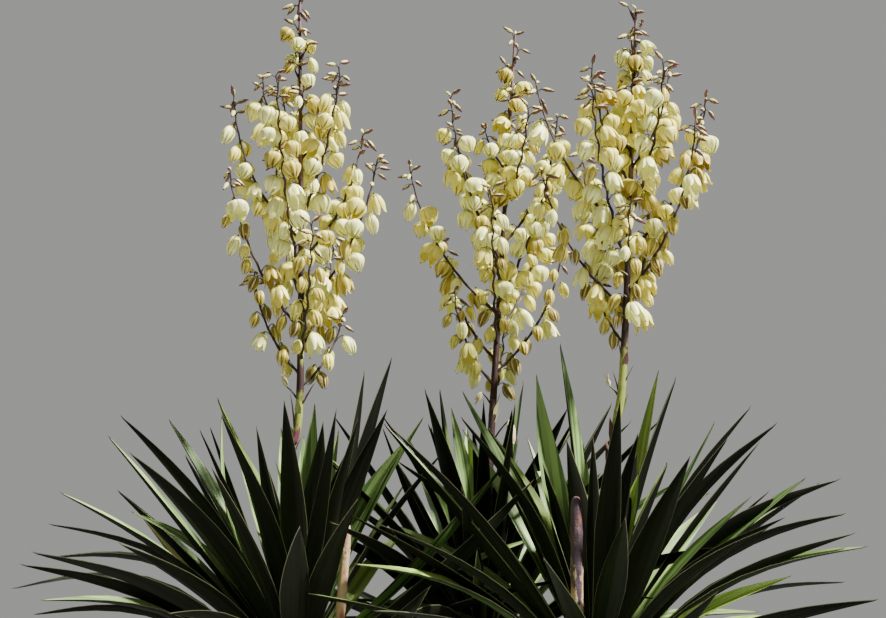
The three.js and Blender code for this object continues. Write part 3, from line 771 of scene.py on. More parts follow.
def spiral_leaf(looks, head, i):
    """Leaf i of a head's spiral. It arches over by its droop, and a few turn up instead."""

    def luck(channel):
        return chance(head.seed, i, channel) - 0.5

    share = (i + 0.5) / LEAVES
    rise = lerp(*LEAF_RISE, share) + 7 * luck(1)
    upturned = luck(2) > 0.5 - LEAF_DROOP.upturn_share
    arch = LEAF_DROOP.upturn if upturned else LEAF_DROOP.least + LEAF_DROOP.spread * (luck(3) + 0.5)
    droop = arch * math.cos(math.radians(rise))
    shorter = 1 - INNER_SHORTER * min(max((share - 0.7) / 0.3, 0), 1)
    slim = 0.62 if luck(14) > 0.24 else 1
    tier, z = leaf_seat(share)
    return SimpleNamespace(
        tier=tier,
        z=z,
        share=share,
        index=i,
        bearing=head.phase + GOLDEN_ANGLE * i + 14 * luck(4),
        rise=rise + droop / 2,
        length=lerp(*LEAF_LENGTH, luck(5) + 0.5) * shorter,
        droop=droop,
        swerve=10 * luck(6),
        roll=56 * luck(7),
        loose=50,
        width=looks.width * slim * (1 + 0.24 * luck(8)),
        age=None,
    )


def lead_leaf(looks, head, row, i, slim=1.0, age=None, roll=None):
    """Leaf of the outline, worked out from where its tip stands."""

    def luck(channel):
        return chance(head.seed, LEAD_FROM + i, channel) - 0.5

    angle, reach, turn, droop = row
    rise = 180 - angle if angle > 90 else angle
    bearing = 180 + turn if angle > 90 else turn
    share = (rise - LEAF_RISE[0]) / (LEAF_RISE[1] - LEAF_RISE[0])
    tier, z = leaf_seat(min(max(share, 0.02), 0.97))
    foot = heading(bearing, 0) * stem_radius(z) + UP * z
    chord = heading(bearing, rise) * reach * MM - foot
    span = np.linalg.norm(chord)
    return SimpleNamespace(
        tier=tier,
        z=z,
        share=share,
        index=LEAD_FROM + i,
        bearing=bearing,
        rise=math.degrees(math.asin(chord[2] / span)) + droop / 2,
        length=span,
        droop=droop,
        swerve=0,
        roll=50 * luck(7) if roll is None else roll,
        loose=50 if roll is None else 0,
        width=looks.width * slim * (1 + 0.14 * luck(8)),
        age=age,
    )


def blade_frame(head, leaf):
    """Middle, way, side and upward vector of a blade at each of its stations."""
    foot = head.centre + UP * leaf.z + heading(leaf.bearing, 0) * (stem_radius(leaf.z) + 3 * MM)
    t = BLADE_STATIONS
    way = heading(leaf.bearing + leaf.swerve * t, leaf.rise - leaf.droop * t)
    half = heading(leaf.bearing + leaf.swerve * t / 2, leaf.rise - leaf.droop * t / 2)
    middle = foot + half * (leaf.length * t)[:, None]
    side = aside(leaf.bearing)
    wave = 9 * MM * (chance(head.seed, leaf.index, 10) - 0.5)
    bow = leaf.length * (0.0024 * leaf.droop + 0.06 * (chance(head.seed, leaf.index, 13) - 0.45))
    middle = middle + side * (wave * np.sin(2 * np.pi * t) * (1 - t))[:, None]
    middle = middle + np.cross(way, side) * (bow * np.sin(np.pi * t) ** 1.2)[:, None]
    way = unit(np.gradient(middle, axis=0))
    twist = 1.1 * leaf.roll + leaf.loose * (chance(head.seed, leaf.index, 11) - 0.5)
    roll = np.radians(twist * np.interp(t, (0, WIDEST, 0.78, 1), (0, 0.6, 1, 1.15)))[:, None]
    turned = side * np.cos(roll) + np.cross(way, side) * np.sin(roll)
    tip = foot + heading(leaf.bearing + leaf.swerve / 2, leaf.rise - leaf.droop / 2) * leaf.length
    return middle, way, turned, np.cross(way, turned), tip


def blade_width(leaf):
    """Full width of a blade at each station: from a narrow waist to its widest part and on to a point."""
    t = BLADE_STATIONS
    grow = np.clip(t / WIDEST, 0, 1)
    waist = lerp(0.6, 1, grow * grow * (3 - 2 * grow))
    return leaf.width * waist * (1 - np.clip((t - WIDEST) / (1 - WIDEST), 0, 1) ** 1.4)


def crosses(leaf, blade, limbs):
    """Whether a blade runs into a limb, given as places along it with their radii."""
    middle, way, side, up, _ = blade
    half = blade_width(leaf) / 2
    for spots, radii in limbs:
        d = spots[None] - middle[CLEAR_FROM:, None]
        ahead = np.abs((d * way[CLEAR_FROM:, None]).sum(-1))
        across = np.abs((d * side[CLEAR_FROM:, None]).sum(-1))
        above = np.abs((d * up[CLEAR_FROM:, None]).sum(-1))
        beside = across < half[CLEAR_FROM:, None] + radii
        if ((ahead < WATCHED * leaf.length) & beside & (above < radii + CLEARANCE)).any():
            return True
    return False


def add_blade(shape, looks, head, leaf, blade):
    """Sword blade: a shallow channel with a keel below, thin pale edges and a brown spine."""
    middle, _, side, up, tip = blade
    half = blade_width(leaf) / 2
    inset = 1 - np.minimum(looks.margin / half, 0.4)
    one, zero = np.ones_like(half), np.zeros_like(half)
    above = (one, inset, 0.5 * one, zero, -0.5 * one, -inset)
    below = (-one, -inset, -0.5 * one, zero, 0.5 * one, inset)
    across = np.stack(above + below, axis=-1)
    fold = 0.6 + 1.3 * chance(head.seed, leaf.index, 12)
    channel = looks.channel * fold * (1 + 0.6 * BLADE_STATIONS)
    height = channel[:, None] * half[:, None] * (np.abs(across) ** 1.4 - 0.45)
    thick = looks.thickness * lerp(1.5, 0.6, BLADE_STATIONS)[:, None] * (1 - 0.7 * np.abs(across) ** 1.5)
    drop = np.concatenate((np.zeros(7), np.ones(5)))
    drop[[0, 6]] = 0.5
    rings = (
        middle[:, None]
        + side[:, None] * (across * half[:, None])[..., None]
        + up[:, None] * (height - thick * drop)[..., None]
    )
    axis = head.centre + UP * leaf.z
    root = axis + (rings[0] - middle[0]) * 0.8 + heading(leaf.bearing, 0) * stem_radius(leaf.z) * 0.45
    rings = np.concatenate((root[None], rings))
    lengthways = np.broadcast_to((BLADE_STATIONS * leaf.length)[:, None], across.shape)
    flat = np.stack((across * half[:, None], lengthways), axis=-1)
    flat = np.concatenate((flat[:1], flat)) + (leaf.index * 0.37, leaf.index * 0.11)
    sides = 2 * leaf_age(head, leaf)
    row = np.array([EDGE] + [sides + UPPER] * 4 + [EDGE, EDGE] + [sides + UNDER] * 4 + [EDGE])
    slots = np.tile(row, (len(rings) - 1, 1))
    slots[0] = FOOT
    loft(shape, rings, slots, end=tip, flat=flat, end_slots=(FOOT, SPINE), turned=slice(6, 12))


def leaf_age(head, leaf):
    """Whether a blade is full-grown, young or old, by chance where its age isn't given."""
    if leaf.age is not None:
        return leaf.age
    luck = chance(head.seed, leaf.index, 9)
    if leaf.index < LEAD_FROM and leaf.share < OLDEST and luck < OLD_SHARE:
        return OLD
    return YOUNG if luck > YOUNG_LUCK else GROWN


class YUCCA_OT_leaves(bpy.types.Operator):
    """Grows the sword leaves of the three heads, tier by tier, clear of the stalks"""

    bl_idname = "yucca.leaves"
    bl_label = "Sword leaves"

    def execute(self, context):
        looks = context.scene.yucca_leaves
        materials = self.materials(looks)
        limbs = self.limbs()
        for head in HEADS:
            shapes = [self.stem(head, tier) for tier in range(len(TIERS))]
            for leaf in self.leaves(looks, head):
                blade = blade_frame(head, leaf)
                if not crosses(leaf, blade, limbs):
                    add_blade(shapes[leaf.tier], looks, head, leaf, blade)
            for tier, shape in zip(TIERS, shapes):
                piece = shape.make(f"{head.name}_{tier}_blades", materials, 40)
                finish_piece(piece, "leaf", f"{head.name}_{tier}_leaves")
        return {"FINISHED"}

    def leaves(self, looks, head):
        """Outline leaves, odd leaves and the spiral of one head."""
        leads = [lead_leaf(looks, head, row, i, roll=head.rolls.get(i)) for i, row in enumerate(head.lead)]
        odd = [lead_leaf(looks, head, row, ODD_FROM + i, *rest) for i, (row, *rest) in enumerate(head.odd)]
        return leads + odd + [spiral_leaf(looks, head, i) for i in range(LEAVES)]

    def materials(self, looks):
        """Blades in three ages, each with its upper and under side, then edge, spine and foot. The under
        sides are darkened as painted shade.
        """
        return [
            leaf_blade("full_grown_blade_above", looks.upper, looks.upper_rib, 0.5, 0.3),
            leaf_blade("full_grown_blade_below", looks.under, looks.painted_shade_under_rib, 0.6, 0.06),
            leaf_blade("young_blade_above", looks.fresh, looks.fresh_rib, 0.5, 0.3),
            leaf_blade("young_blade_below_painted_shade", looks.upper_rib, looks.under, 0.5, 0.2),
            leaf_blade("old_blade_above", looks.old, looks.upper_rib, 0.55, 0.3),
            leaf_blade("old_blade_below", looks.old, looks.under, 0.6, 0.25),
            plain("thin_pale_edge", looks.edge, 0.5),
            plain("horny_spine", looks.spine, 0.4),
            plain("clasping_leaf_foot", looks.foot, 0.55),
        ]

    def limbs(self):
        """Places along every stalk that a blade has to keep clear of, with their radii."""
        found = []
        for head in HEADS:
            t = np.linspace(0.12, 1, 90)
            found.append((stalk_path(head).at(t), stalk_radius(t)))
            if head.cut is not None:
                found.append((Path(head.cut).at(t), lerp(*head.cut_radii, t)))
        return found

    def stem(self, head, tier):
        """One tier's length of the leafy stem."""
        z = np.linspace(*tier_span(tier), 5)
        shape = Shape()
        rings = rings_along(head.centre + UP * z[:, None], np.tile(UP, (5, 1)), EAST, stem_radius(z), 20)
        loft(shape, rings, FOOT)
        return shape


# Flower stalks

STALK_SKIN, DRY_BRACT, WITHERED, BARE_TWIG, GREEN_BRACT = range(5)
STALK_SIDES = 14
DEAD_BELL = 34 * MM
# How the flush lessens for each metre up, and the height that this starts from
FLUSH_LEAN = (-1.2, 2.22)


class StalkLooks(bpy.types.PropertyGroup):
    """Colours of the living stalks and twigs."""

    green: tint("Stalk", "#828c3b", "Yellow-green of the bare stalk")
    flush: tint("Flush", "#5f2f3b", "Pink-purple flush on the stalk")
    # Upper stalk colour: partly its own purple-brown, partly painted shade of the bells around it.
    dark: tint("Upper stalk", "#35211e", "Purple-brown of the stalk and twigs among the bells")
    young: tint("Stalk tip", "#725557", "Mauve brown of the young top of a stalk")
    bract: tint("Bract", "#4f2f24", "Red-brown of the dry pointed bracts")
    fresh_bract: tint("Green bract", "#a2a064", "Pale green of bracts that are still fresh")
    straw: tint("Withered", "#d0bf95", "Pale straw of withered bells")
    pedicel: tint("Flower stem", "#5f5a2e", "Olive of the stems that the bells hang by")


def stalk_path(head):
    """Way of a flower stalk from the top of the leafy stem to its tip."""
    return Path(np.vstack((head.centre + UP * (STEM_TOP - GAP), head.stalk)))


def stalk_radius(t):
    """Radius of a flower stalk at shares of its path."""
    return np.interp(t, (0, FIRST_BRANCH, 1), STALK_RADII)


def living_stalk(looks):
    """Fleshy stalk: yellow-green below with a pink-purple flush, dark purple-brown from its first branch,
    partly its own colour and partly painted shade of the spray.
    """
    made, tree, shader = surface("flushed_green_stalk", looks.green, 0.42)
    flat = (node(tree, "ShaderNodeUVMap", {"uv_map": "flat"}), 0)
    colours = (looks.green, looks.flush)
    flushed = mottle(tree, shader, colours, 34, (1, 1, 0.3), 0.54, 0.64, 3, lean=FLUSH_LEAN)
    height = node(tree, "ShaderNodeSeparateXYZ", {}, {"Vector": flat})
    ragged = node(tree, "ShaderNodeTexNoise", {"Scale": per(14), "Detail": 3}, {"Vector": flat})
    links = {0: (ragged, "Fac"), 2: (height, "Y")}
    edge = node(tree, "ShaderNodeMath", {"operation": "MULTIPLY_ADD", 1: 70 * MM}, links)
    share = node(tree, "ShaderNodeMapRange", {"From Min": 5 * MM, "From Max": 40 * MM}, {"Value": (edge, 0)})
    links = {0: (share, 0), MIX_FROM: (flushed, MIXED)}
    mixed = node(tree, "ShaderNodeMix", {"data_type": "RGBA", MIX_TO: (*looks.dark, 1)}, links)
    tree.links.new(mixed.outputs[MIXED], shader.inputs["Base Color"])
    return made


def upper_stalk(looks):
    """Woody upper stalk: dark purple-brown skin with olive streaks. The dark is partly its own colour and
    partly painted shade of the bells around it.
    """
    made, tree, shader = surface("purple_brown_stalk", looks.dark, 0.65, **{"Specular IOR Level": 0.3})
    mottle(tree, shader, (looks.dark, looks.green), 24, (1, 1, 0.25), 0.57, 0.66, 2)
    return made


class YUCCA_OT_stalks(bpy.types.Operator):
    """Makes the bare lower lengths of the flower stalks, with their bracts"""

    bl_idname = "yucca.stalks"
    bl_label = "Flower stalks"

    def execute(self, context):
        looks = context.scene.yucca_stalks
        materials = [
            living_stalk(looks),
            plain("dry_bract", looks.bract, 0.8),
            plain("withered_petal", looks.straw, 0.85),
            plain("bare_twig", looks.dark, 0.6),
            plain("green_bract", looks.fresh_bract, 0.6),
        ]
        for head in HEADS:
            self.stalk(head, materials)
        return {"FINISHED"}

    def stalk(self, head, materials):
        """Bare stalk from the leaves up to its first branch, with withered bells on short twigs."""
        path = stalk_path(head)
        shape = Shape()
        t = np.linspace(0, FIRST_BRANCH, 80)
        z = path.at(t)[:, 2]
        joint = 1 + 0.07 * np.exp(-((((z / JOINT) % 1) - 0.5) ** 2) / 0.01)
        turn = 2 * np.pi * np.arange(STALK_SIDES) / STALK_SIDES * STALK_RADII[0]
        # Height above where the dark colour starts; that dark length is partly painted shade.
        above_dark = (z - z[-1] + head.dark)[:, None]
        flat = np.stack(np.broadcast_arrays(turn[None] + head.seed, above_dark), axis=-1)
        rings = rings_along(path.at(t), path.way(t), EAST, stalk_radius(t) * joint, STALK_SIDES)
        loft(shape, rings, STALK_SKIN, flat=flat)
        for k in range(int((z[-1] - z[0]) / JOINT)):
            where = np.interp(z[0] + (k + 0.6) * JOINT, z, t)
            bearing = head.phase + GOLDEN_ANGLE * k
            reach = lerp(85, 34, where / FIRST_BRANCH) * (0.8 + 0.4 * chance(head.seed, k, 40)) * MM
            foot = path.at(where) + heading(bearing, 0) * stalk_radius(where) * 0.85
            way = heading(bearing, 78 - 14 * chance(head.seed, k, 41))
            slot = GREEN_BRACT if k % 3 == 1 else DRY_BRACT
            add_scale(shape, foot, way, aside(bearing), reach, 15 * MM, 2.4 * MM, slot)
        for below, bearing, rise, reach, green in head.bracts:
            where = np.interp(z[-1] - below * MM, z, t)
            foot = path.at(where) + heading(bearing, 0) * stalk_radius(where) * 0.8
            slot = GREEN_BRACT if green else DRY_BRACT
            way = heading(bearing, rise)
            add_scale(shape, foot, way, aside(bearing), reach * MM, 14 * MM, 2.4 * MM, slot)
        for k, (below, bearing, rise, size) in enumerate(head.withered):
            where = np.interp(z[-1] - below * MM, z, t)
            self.withered(shape, path.at(where), bearing, rise, size, 100 * head.seed + k)
        piece = shape.make(head.name + "_lower_stalk", materials, 50)
        finish_piece(piece, "flower_stalk", head.name + "_flower_stalk")

    def withered(self, shape, foot, bearing, rise, size, seed):
        """Short bare twig with a shrivelled bell at its end."""
        way = heading(bearing, 52)
        side = aside(bearing)
        w = np.linspace(0, 1, 5)[:, None]
        twig = foot + way * (26 + 26 * size) * MM * w + UP * 5 * MM * np.sin(np.pi * w)
        radii = lerp(2.6, 1.5, w[:, 0]) * MM
        loft(shape, rings_along(twig, np.tile(way, (5, 1)), side, radii, 6), BARE_TWIG)
        out = heading(bearing, rise)
        sides = 9
        around = 2 * np.pi * np.arange(sides) / sides
        creases = 1 + 0.28 * np.cos(3 * around + 6 * chance(seed, 0, 50)) + 0.12 * np.cos(4 * around)
        shares = np.array((0, 0.15, 0.4, 0.7, 0.9))
        radii = np.array((1.8, 5.2, 7.0, 6.0, 3.6))[:, None] * creases * size**0.5 * MM
        body = twig[-1] + out * DEAD_BELL * size * shares[:, None]
        tip = twig[-1] + out * DEAD_BELL * size
        loft(shape, rings_along(body, np.tile(out, (5, 1)), side, radii, sides), WITHERED, end=tip)
        for p in range(3):
            turn = math.radians(120 * p)
            lean = unit(out + 0.35 * (side * math.cos(turn) + np.cross(out, side) * math.sin(turn)))
            reach = (16 + 8 * chance(seed, p, 51)) * MM
            add_scale(shape, body[3], lean, side, reach, 8 * MM, 3 * MM, WITHERED, 0.4)


# Sprays


class SprayLooks(bpy.types.PropertyGroup):
    """Sizes and colours of the flower sprays."""

    bell_radius: length("Bell radius", 20 * MM, "Radius of a full bell")
    bell_length: length("Bell length", 49 * MM, "Length of a full bell")
    petal_thickness: length("Petal thickness", 1.2 * MM, "Thickness of a petal along its middle")
    petal_cup: length("Petal cup", 2.1 * MM, "How far the middle of a petal stands out past its edges")
    bud_length: length("Bud length", 31 * MM, "Length of a bud")
    bud_radius: length("Bud radius", 5.4 * MM, "Radius of a bud")
    white: tint("White bell", "#f7f6a6", "Cream-white of the freshest bells")
    cream: tint("Cream bell", "#ecdf72", "Cream of most bells")
    warm: tint("Old bell", "#bca747", "Olive cream of the oldest bells")
    browned: tint("Browned bell", "#8e7840", "Olive brown of the first bells to fade")
    rib: tint("Petal ribs", "#dcd97c", "Greenish rib down the middle of a petal")
    base: tint("Bell base", "#a5a845", "Yellow-green where a bell joins its stem")
    tip: tint("Petal tips", "#99643f", "Pinkish brown of the petal tips")
    bud: tint("Bud", "#cbc677", "Cream-green of the buds")
    # Bud flush: partly a real purple flush, partly painted shade on the lower side of a bud.
    flush: tint("Bud flush", "#5f3f36", "Purple-brown flush along the lower side of a bud")
    bud_tip: tint("Bud tip", "#65343c", "Pink-purple of the bud tips")


def branch_of(head, j):
    """Side branch j of a spray. They are longest a quarter of the way up and dwindle to the tip."""

    def luck(channel):
        return chance(head.seed, 1000 + j, channel) - 0.5

    share = (j + 0.3) / BRANCHES
    fullness = max(0.08, math.sin(math.pi * (share + 0.13) / 0.86))
    rise = BRANCH_RISE[0] + 12 * luck(2)
    reach = BRANCH_LENGTH * fullness * (1 + 0.22 * luck(4))
    return SimpleNamespace(
        j=j,
        share=share,
        bearing=head.phase + GOLDEN_ANGLE * j + 24 * luck(1),
        rise=rise,
        arch=BRANCH_RISE[1] + 8 * luck(3) - rise,
        length=reach,
        foot=stalk_path(head).at(lerp(FIRST_BRANCH, 1, share)),
        girth=lerp(0.7, 1, fullness),
        flowers=math.floor((reach - FIRST_FLOWER) / FLOWER_STEP) + 1,
    )


def along_branch(branch, w):
    """Places at shares of a branch's length. It zigzags from flower to flower."""
    w = np.asarray(w, float)
    beat = (w * branch.length - FIRST_FLOWER) / FLOWER_STEP
    zigzag = 2.4 * MM * np.cos(np.pi * beat) * np.clip(w * 5, 0, 1)
    line = heading(branch.bearing, branch.rise + branch.arch * w / 2) * (branch.length * w)[..., None]
    return branch.foot + line + aside(branch.bearing) * zigzag[..., None]


def flower_of(head, branch, k):
    """Flower k of a branch: a bell or a bud, with its bearing, its lean off the plumb and its size."""

    def luck(channel):
        return chance(head.seed, 2000 + 40 * branch.j + k, channel)

    w = (FIRST_FLOWER + FLOWER_STEP * k) / branch.length
    return SimpleNamespace(
        index=2000 + 40 * branch.j + k,
        w=w,
        bud=w > BUDS_FROM or branch.share > 0.86,
        bearing=branch.bearing + (1 if k % 2 else -1) * (25 + 95 * luck(1)),
        lean=10 + 20 * luck(2),
        size=(0.84 + 0.26 * luck(3)) * (0.88 if branch.share > 0.7 else 1),
    )


# Kinds of bell: their reach from the axis at stations down a petal, their length, and their share of all.
BELL_STATIONS = (0, 0.08, 0.22, 0.4, 0.58, 0.74, 0.88, 1)
BELL_KINDS = {
    "closed": SimpleNamespace(reach=(0.1, 0.5, 0.86, 0.97, 0.86, 0.62, 0.32, 0.07), long=1.0, share=0.34),
    "parted": SimpleNamespace(reach=(0.1, 0.5, 0.88, 1.02, 0.95, 0.78, 0.58, 0.46), long=0.98, share=0.24),
    "open": SimpleNamespace(reach=(0.1, 0.55, 0.98, 1.2, 1.22, 1.12, 1.1, 1.3), long=0.92, share=0.08),
    "narrow": SimpleNamespace(reach=(0.09, 0.32, 0.5, 0.6, 0.57, 0.46, 0.3, 0.14), long=0.98, share=0.18),
    "skirt": SimpleNamespace(reach=(0.1, 0.36, 0.6, 0.78, 0.9, 0.94, 0.98, 1.12), long=1.02, share=0.16),
}
TWINS = 3
PETAL_ROWS = np.array((0.05, 0.14, 0.26, 0.39, 0.52, 0.65, 0.77, 0.87, 0.95))
PETAL_COLUMNS = np.array((-1, -0.62, -0.17, 0.17, 0.62, 1))
PETAL_HALF_ANGLES = (31.5, 35)
# Slots of the petals: three tones of their bodies, then rib, base and tip, and the brown of faded bodies
FRESH, CREAM, AGED, PETAL_RIB, PETAL_BASE, PETAL_TIP, BROWNED = range(7)
# The body of a petal in a template, before its bell gets a tone
PETAL_BODY = FRESH


def bell_template(looks, kind, number):
    """Points and faces of one bell of six petals, hung from the origin along +Z, and each face's part."""
    shape = Shape()
    t = PETAL_ROWS
    for p in range(6):
        outer = p % 2

        def luck(channel):
            return chance(71 + number, p, channel) - 0.5

        reach = np.interp(np.append(t, 1), BELL_STATIONS, kind.reach) * looks.bell_radius
        reach = reach * (1 + 0.3 * luck(3) * np.append(t, 1) ** 3) + (1.2 if outer else -0.8) * MM
        reach = np.maximum(reach, 0.9 * MM)
        fall = np.append(t, 1) * looks.bell_length * kind.long * (1 + 0.12 * luck(2))
        half = math.radians(PETAL_HALF_ANGLES[outer]) * (1 - t**3.2) ** 0.85
        turn = math.radians(60 * p + 7 * luck(1)) + 0.22 * luck(4) * np.append(t, 1) ** 2
        cup = looks.petal_cup * np.sin(np.pi * np.clip(t * 0.95 + 0.08, 0, 1))[:, None]
        bulge = cup * (1 - PETAL_COLUMNS**2) + 0.3 * MM * (np.abs(PETAL_COLUMNS) < 0.2)
        front = polar(
            reach[:-1, None] + bulge, turn[:-1, None] + PETAL_COLUMNS * half[:, None], fall[:-1, None]
        )
        inside = polar(reach[:-1] + cup[:, 0] - looks.petal_thickness, turn[:-1], fall[:-1])
        tip = polar(reach[-1], turn[-1], fall[-1])
        add_petal(shape, front, inside, (0, 0, -1 * MM), tip)
    return shape


def polar(radius, angle, height):
    """Points from a radius, an angle and a height."""
    radius, angle, height = np.broadcast_arrays(radius, angle, height)
    return np.stack((radius * np.cos(angle), radius * np.sin(angle), height), axis=-1)


def add_petal(shape, front, inside, base, end):
    """Petal as a thin closed lens: columns of points outside, one column inside and a point at each end."""
    rows, columns = front.shape[:2]
    i = np.arange(rows - 1)[:, None] * columns
    j = np.arange(columns - 1)
    outer = np.stack((i + j, i + j + 1, i + columns + j + 1, i + columns + j), axis=-1)
    spine = rows * columns + np.arange(rows)
    left, right = np.arange(rows) * columns, np.arange(rows) * columns + columns - 1
    inner = np.concatenate(
        (
            np.stack((left[:-1], left[1:], spine[1:], spine[:-1]), axis=-1),
            np.stack((spine[:-1], spine[1:], right[1:], right[:-1]), axis=-1),
        )
    )
    foot, top = rows * (columns + 1), rows * (columns + 1) + 1
    last = (rows - 1) * columns
    ends = [(foot, c + 1, c) for c in range(columns - 1)]
    ends += [(foot, left[0], spine[0]), (foot, spine[0], right[0])]
    ends += [(top, last + c, last + c + 1) for c in range(columns - 1)]
    ends += [(top, spine[-1], left[-1]), (top, right[-1], spine[-1])]
    slots = np.full((rows - 1, columns - 1), PETAL_BODY)
    slots[:, columns // 2 - 1] = PETAL_RIB
    slots[0] = PETAL_BASE
    quad_slots = np.concatenate((slots.ravel(), np.full(2 * (rows - 1), PETAL_BODY)))
    end_slots = [PETAL_BASE] * (columns + 1) + [PETAL_TIP] * (columns + 1)
    points = np.vstack((front.reshape(-1, 3), inside, base, end))
    shape.add(points, np.vstack((outer.reshape(-1, 4), inner)), ends, quad_slots, end_slots)


def hang(shape, template, at, down, side, size, tone):
    """Adds a copy of a bell with its petals in one of the tones."""
    x = unit(side - (side @ down) * down)
    basis = np.stack((x, np.cross(down, x), down))
    quads, triangles = np.vstack(template.quads), np.vstack(template.triangles)
    slots = [np.concatenate(s) for s in (template.quad_slots, template.triangle_slots)]
    toned = [np.where(s == PETAL_BODY, tone, s) for s in slots]
    shape.add(at + np.vstack(template.points) @ basis * size, quads, triangles, *toned)


def stalk_flower_of(head, n):
    """Flower n that hangs straight off the upper stalk, with its place there."""

    def luck(channel):
        return chance(head.seed, 3900 + n, channel)

    share = lerp(STALK_FLOWERS.start, STALK_FLOWERS.end, n / (STALK_FLOWERS.count - 1))
    return SimpleNamespace(
        index=3900 + n,
        share=share,
        root=stalk_path(head).at(lerp(FIRST_BRANCH, 1, share)),
        bud=share > STALK_FLOWERS.buds_from,
        bearing=head.phase + 60 + GOLDEN_ANGLE * n + 30 * luck(1),
        lean=20 + 14 * luck(2),
        size=0.76 + 0.2 * luck(3),
    )


# Turns about its twig that a bell tries, in order
BELL_TURNS = (0, 40, -40, 80, -80, 130)
# Room from the middle of a bell to the next one's: enough, and the least. Stalks may come that much nearer.
ENOUGH_ROOM, LEAST_ROOM, STALK_NEARER = 36 * MM, 25 * MM, 12 * MM


def place_flowers(looks, head):
    """Every flower of a spray with its place, moved round its twig where another bell is in the way."""
    flowers = [stalk_flower_of(head, n) for n in range(STALK_FLOWERS.count)]
    for j in range(BRANCHES):
        branch = branch_of(head, j)
        for k in range(branch.flowers):
            flower = flower_of(head, branch, k)
            flower.share = branch.share
            flower.root = along_branch(branch, flower.w)
            flowers.append(flower)
    stalk = stalk_path(head).at(np.linspace(FIRST_BRANCH, 1, 120))
    centres, found = [], []
    for flower in flowers:
        if flower.bud or find_room(looks, flower, stalk, centres):
            found.append(flower)
    return found


def find_room(looks, flower, stalk, centres):
    """Turns a bell about its twig to where it hangs free. False where there is no room for it."""
    best = 0
    for turn in BELL_TURNS:
        bearing = flower.bearing + turn
        neck = flower.root + heading(bearing, PEDICEL.rise) * PEDICEL.length
        down = heading(bearing, flower.lean - 90)
        middle = neck + down * looks.bell_length * flower.size * 0.45
        apart = [np.linalg.norm(middle - c) for c in centres]
        room = min(apart + [np.linalg.norm(stalk - middle, axis=1).min() + STALK_NEARER])
        if room > best:
            best = room
            flower.neck, flower.down, flower.middle, flower.side = neck, down, middle, aside(bearing)
        if room > ENOUGH_ROOM:
            break
    if best < LEAST_ROOM:
        return False
    centres.append(flower.middle)
    return True


UPPER_SKIN, TWIG, FLOWER_STEM, TWIG_BRACT, YOUNG_TIP = range(5)
UPPER_SIDES, TWIG_SIDES, STEM_SIDES = 12, 7, 5


class YUCCA_OT_twigs(bpy.types.Operator):
    """Makes the upper stalks, their side branches and the stems that bells and buds hang by"""

    bl_idname = "yucca.twigs"
    bl_label = "Twigs of the sprays"

    def execute(self, context):
        looks = context.scene.yucca_stalks
        materials = [
            upper_stalk(looks),
            plain("purple_twig", looks.dark, 0.7),
            plain("olive_flower_stem", looks.pedicel, 0.6),
            plain("dry_bract", looks.bract, 0.8),
            plain("mauve_stalk_tip", looks.young, 0.6),
        ]
        for head in HEADS:
            shape = Shape()
            self.upper_stalk(shape, head)
            for j in range(BRANCHES):
                self.branch(shape, branch_of(head, j))
            for flower in place_flowers(context.scene.yucca_spray, head):
                if not flower.bud:
                    self.pedicel(shape, flower)
            piece = shape.make(head.name + "_twigs", materials, 60)
            finish_piece(piece, "flower_stalk", head.name + "_flower_spray")
        return {"FINISHED"}

    def upper_stalk(self, shape, head):
        """Upper stalk among the branches, paler in ragged lengths towards its young tip."""
        path = stalk_path(head)
        t = np.linspace(FIRST_BRANCH, 1, 110)
        rings = rings_along(path.at(t), path.way(t), EAST, stalk_radius(t), UPPER_SIDES)
        pale = rough(rings, 30 * MM, head.seed) + 3 * (t[:, None] - 0.9)
        loft(shape, rings, np.where(pale > 0, YOUNG_TIP, UPPER_SKIN)[:-1])

    def branch(self, shape, branch):
        """Side branch: a thin zigzag that swells at each flower, with a bract under its foot."""
        steps = max(int(branch.length / (8 * MM)), 5)
        w = np.linspace(0, 1, steps)
        centres = along_branch(branch, w)
        travels = heading(branch.bearing, branch.rise + branch.arch * w)
        beat = (w * branch.length - FIRST_FLOWER) / FLOWER_STEP
        swell = 1 + 0.3 * np.exp(-((beat - np.round(beat)) ** 2) / 0.02)
        radii = lerp(3.6, 1.7, w) * MM * branch.girth * swell
        side = aside(branch.bearing)
        loft(shape, rings_along(centres, travels, side, radii, TWIG_SIDES), TWIG)
        foot = branch.foot + heading(branch.bearing, 0) * 4 * MM - UP * 4 * MM
        way = heading(branch.bearing, 50 + branch.rise * 0.3)
        reach = lerp(34, 10, branch.share) * MM
        add_scale(shape, foot, way, side, reach, 9 * MM, 1.6 * MM, TWIG_BRACT)

    def pedicel(self, shape, flower):
        """Stem of a bell, arched from its twig over to the bell's neck."""
        t = np.linspace(0, 1, 6)[:, None]
        crest = flower.neck - flower.down * 11 * MM
        end = flower.neck + flower.down * 2 * MM
        line = flower.root * (1 - t) ** 2 + 2 * crest * t * (1 - t) + end * t**2
        way = np.gradient(line, axis=0)
        radii = np.array((1.5, 1.3, 1.2, 1.3, 1.9, 3.4)) * MM
        loft(shape, rings_along(line, way, flower.side, radii, STEM_SIDES), FLOWER_STEM)
        out = unit(flower.neck - flower.root)
        add_scale(shape, flower.root, out, flower.side, 9 * MM, 4 * MM, 1 * MM, TWIG_BRACT)


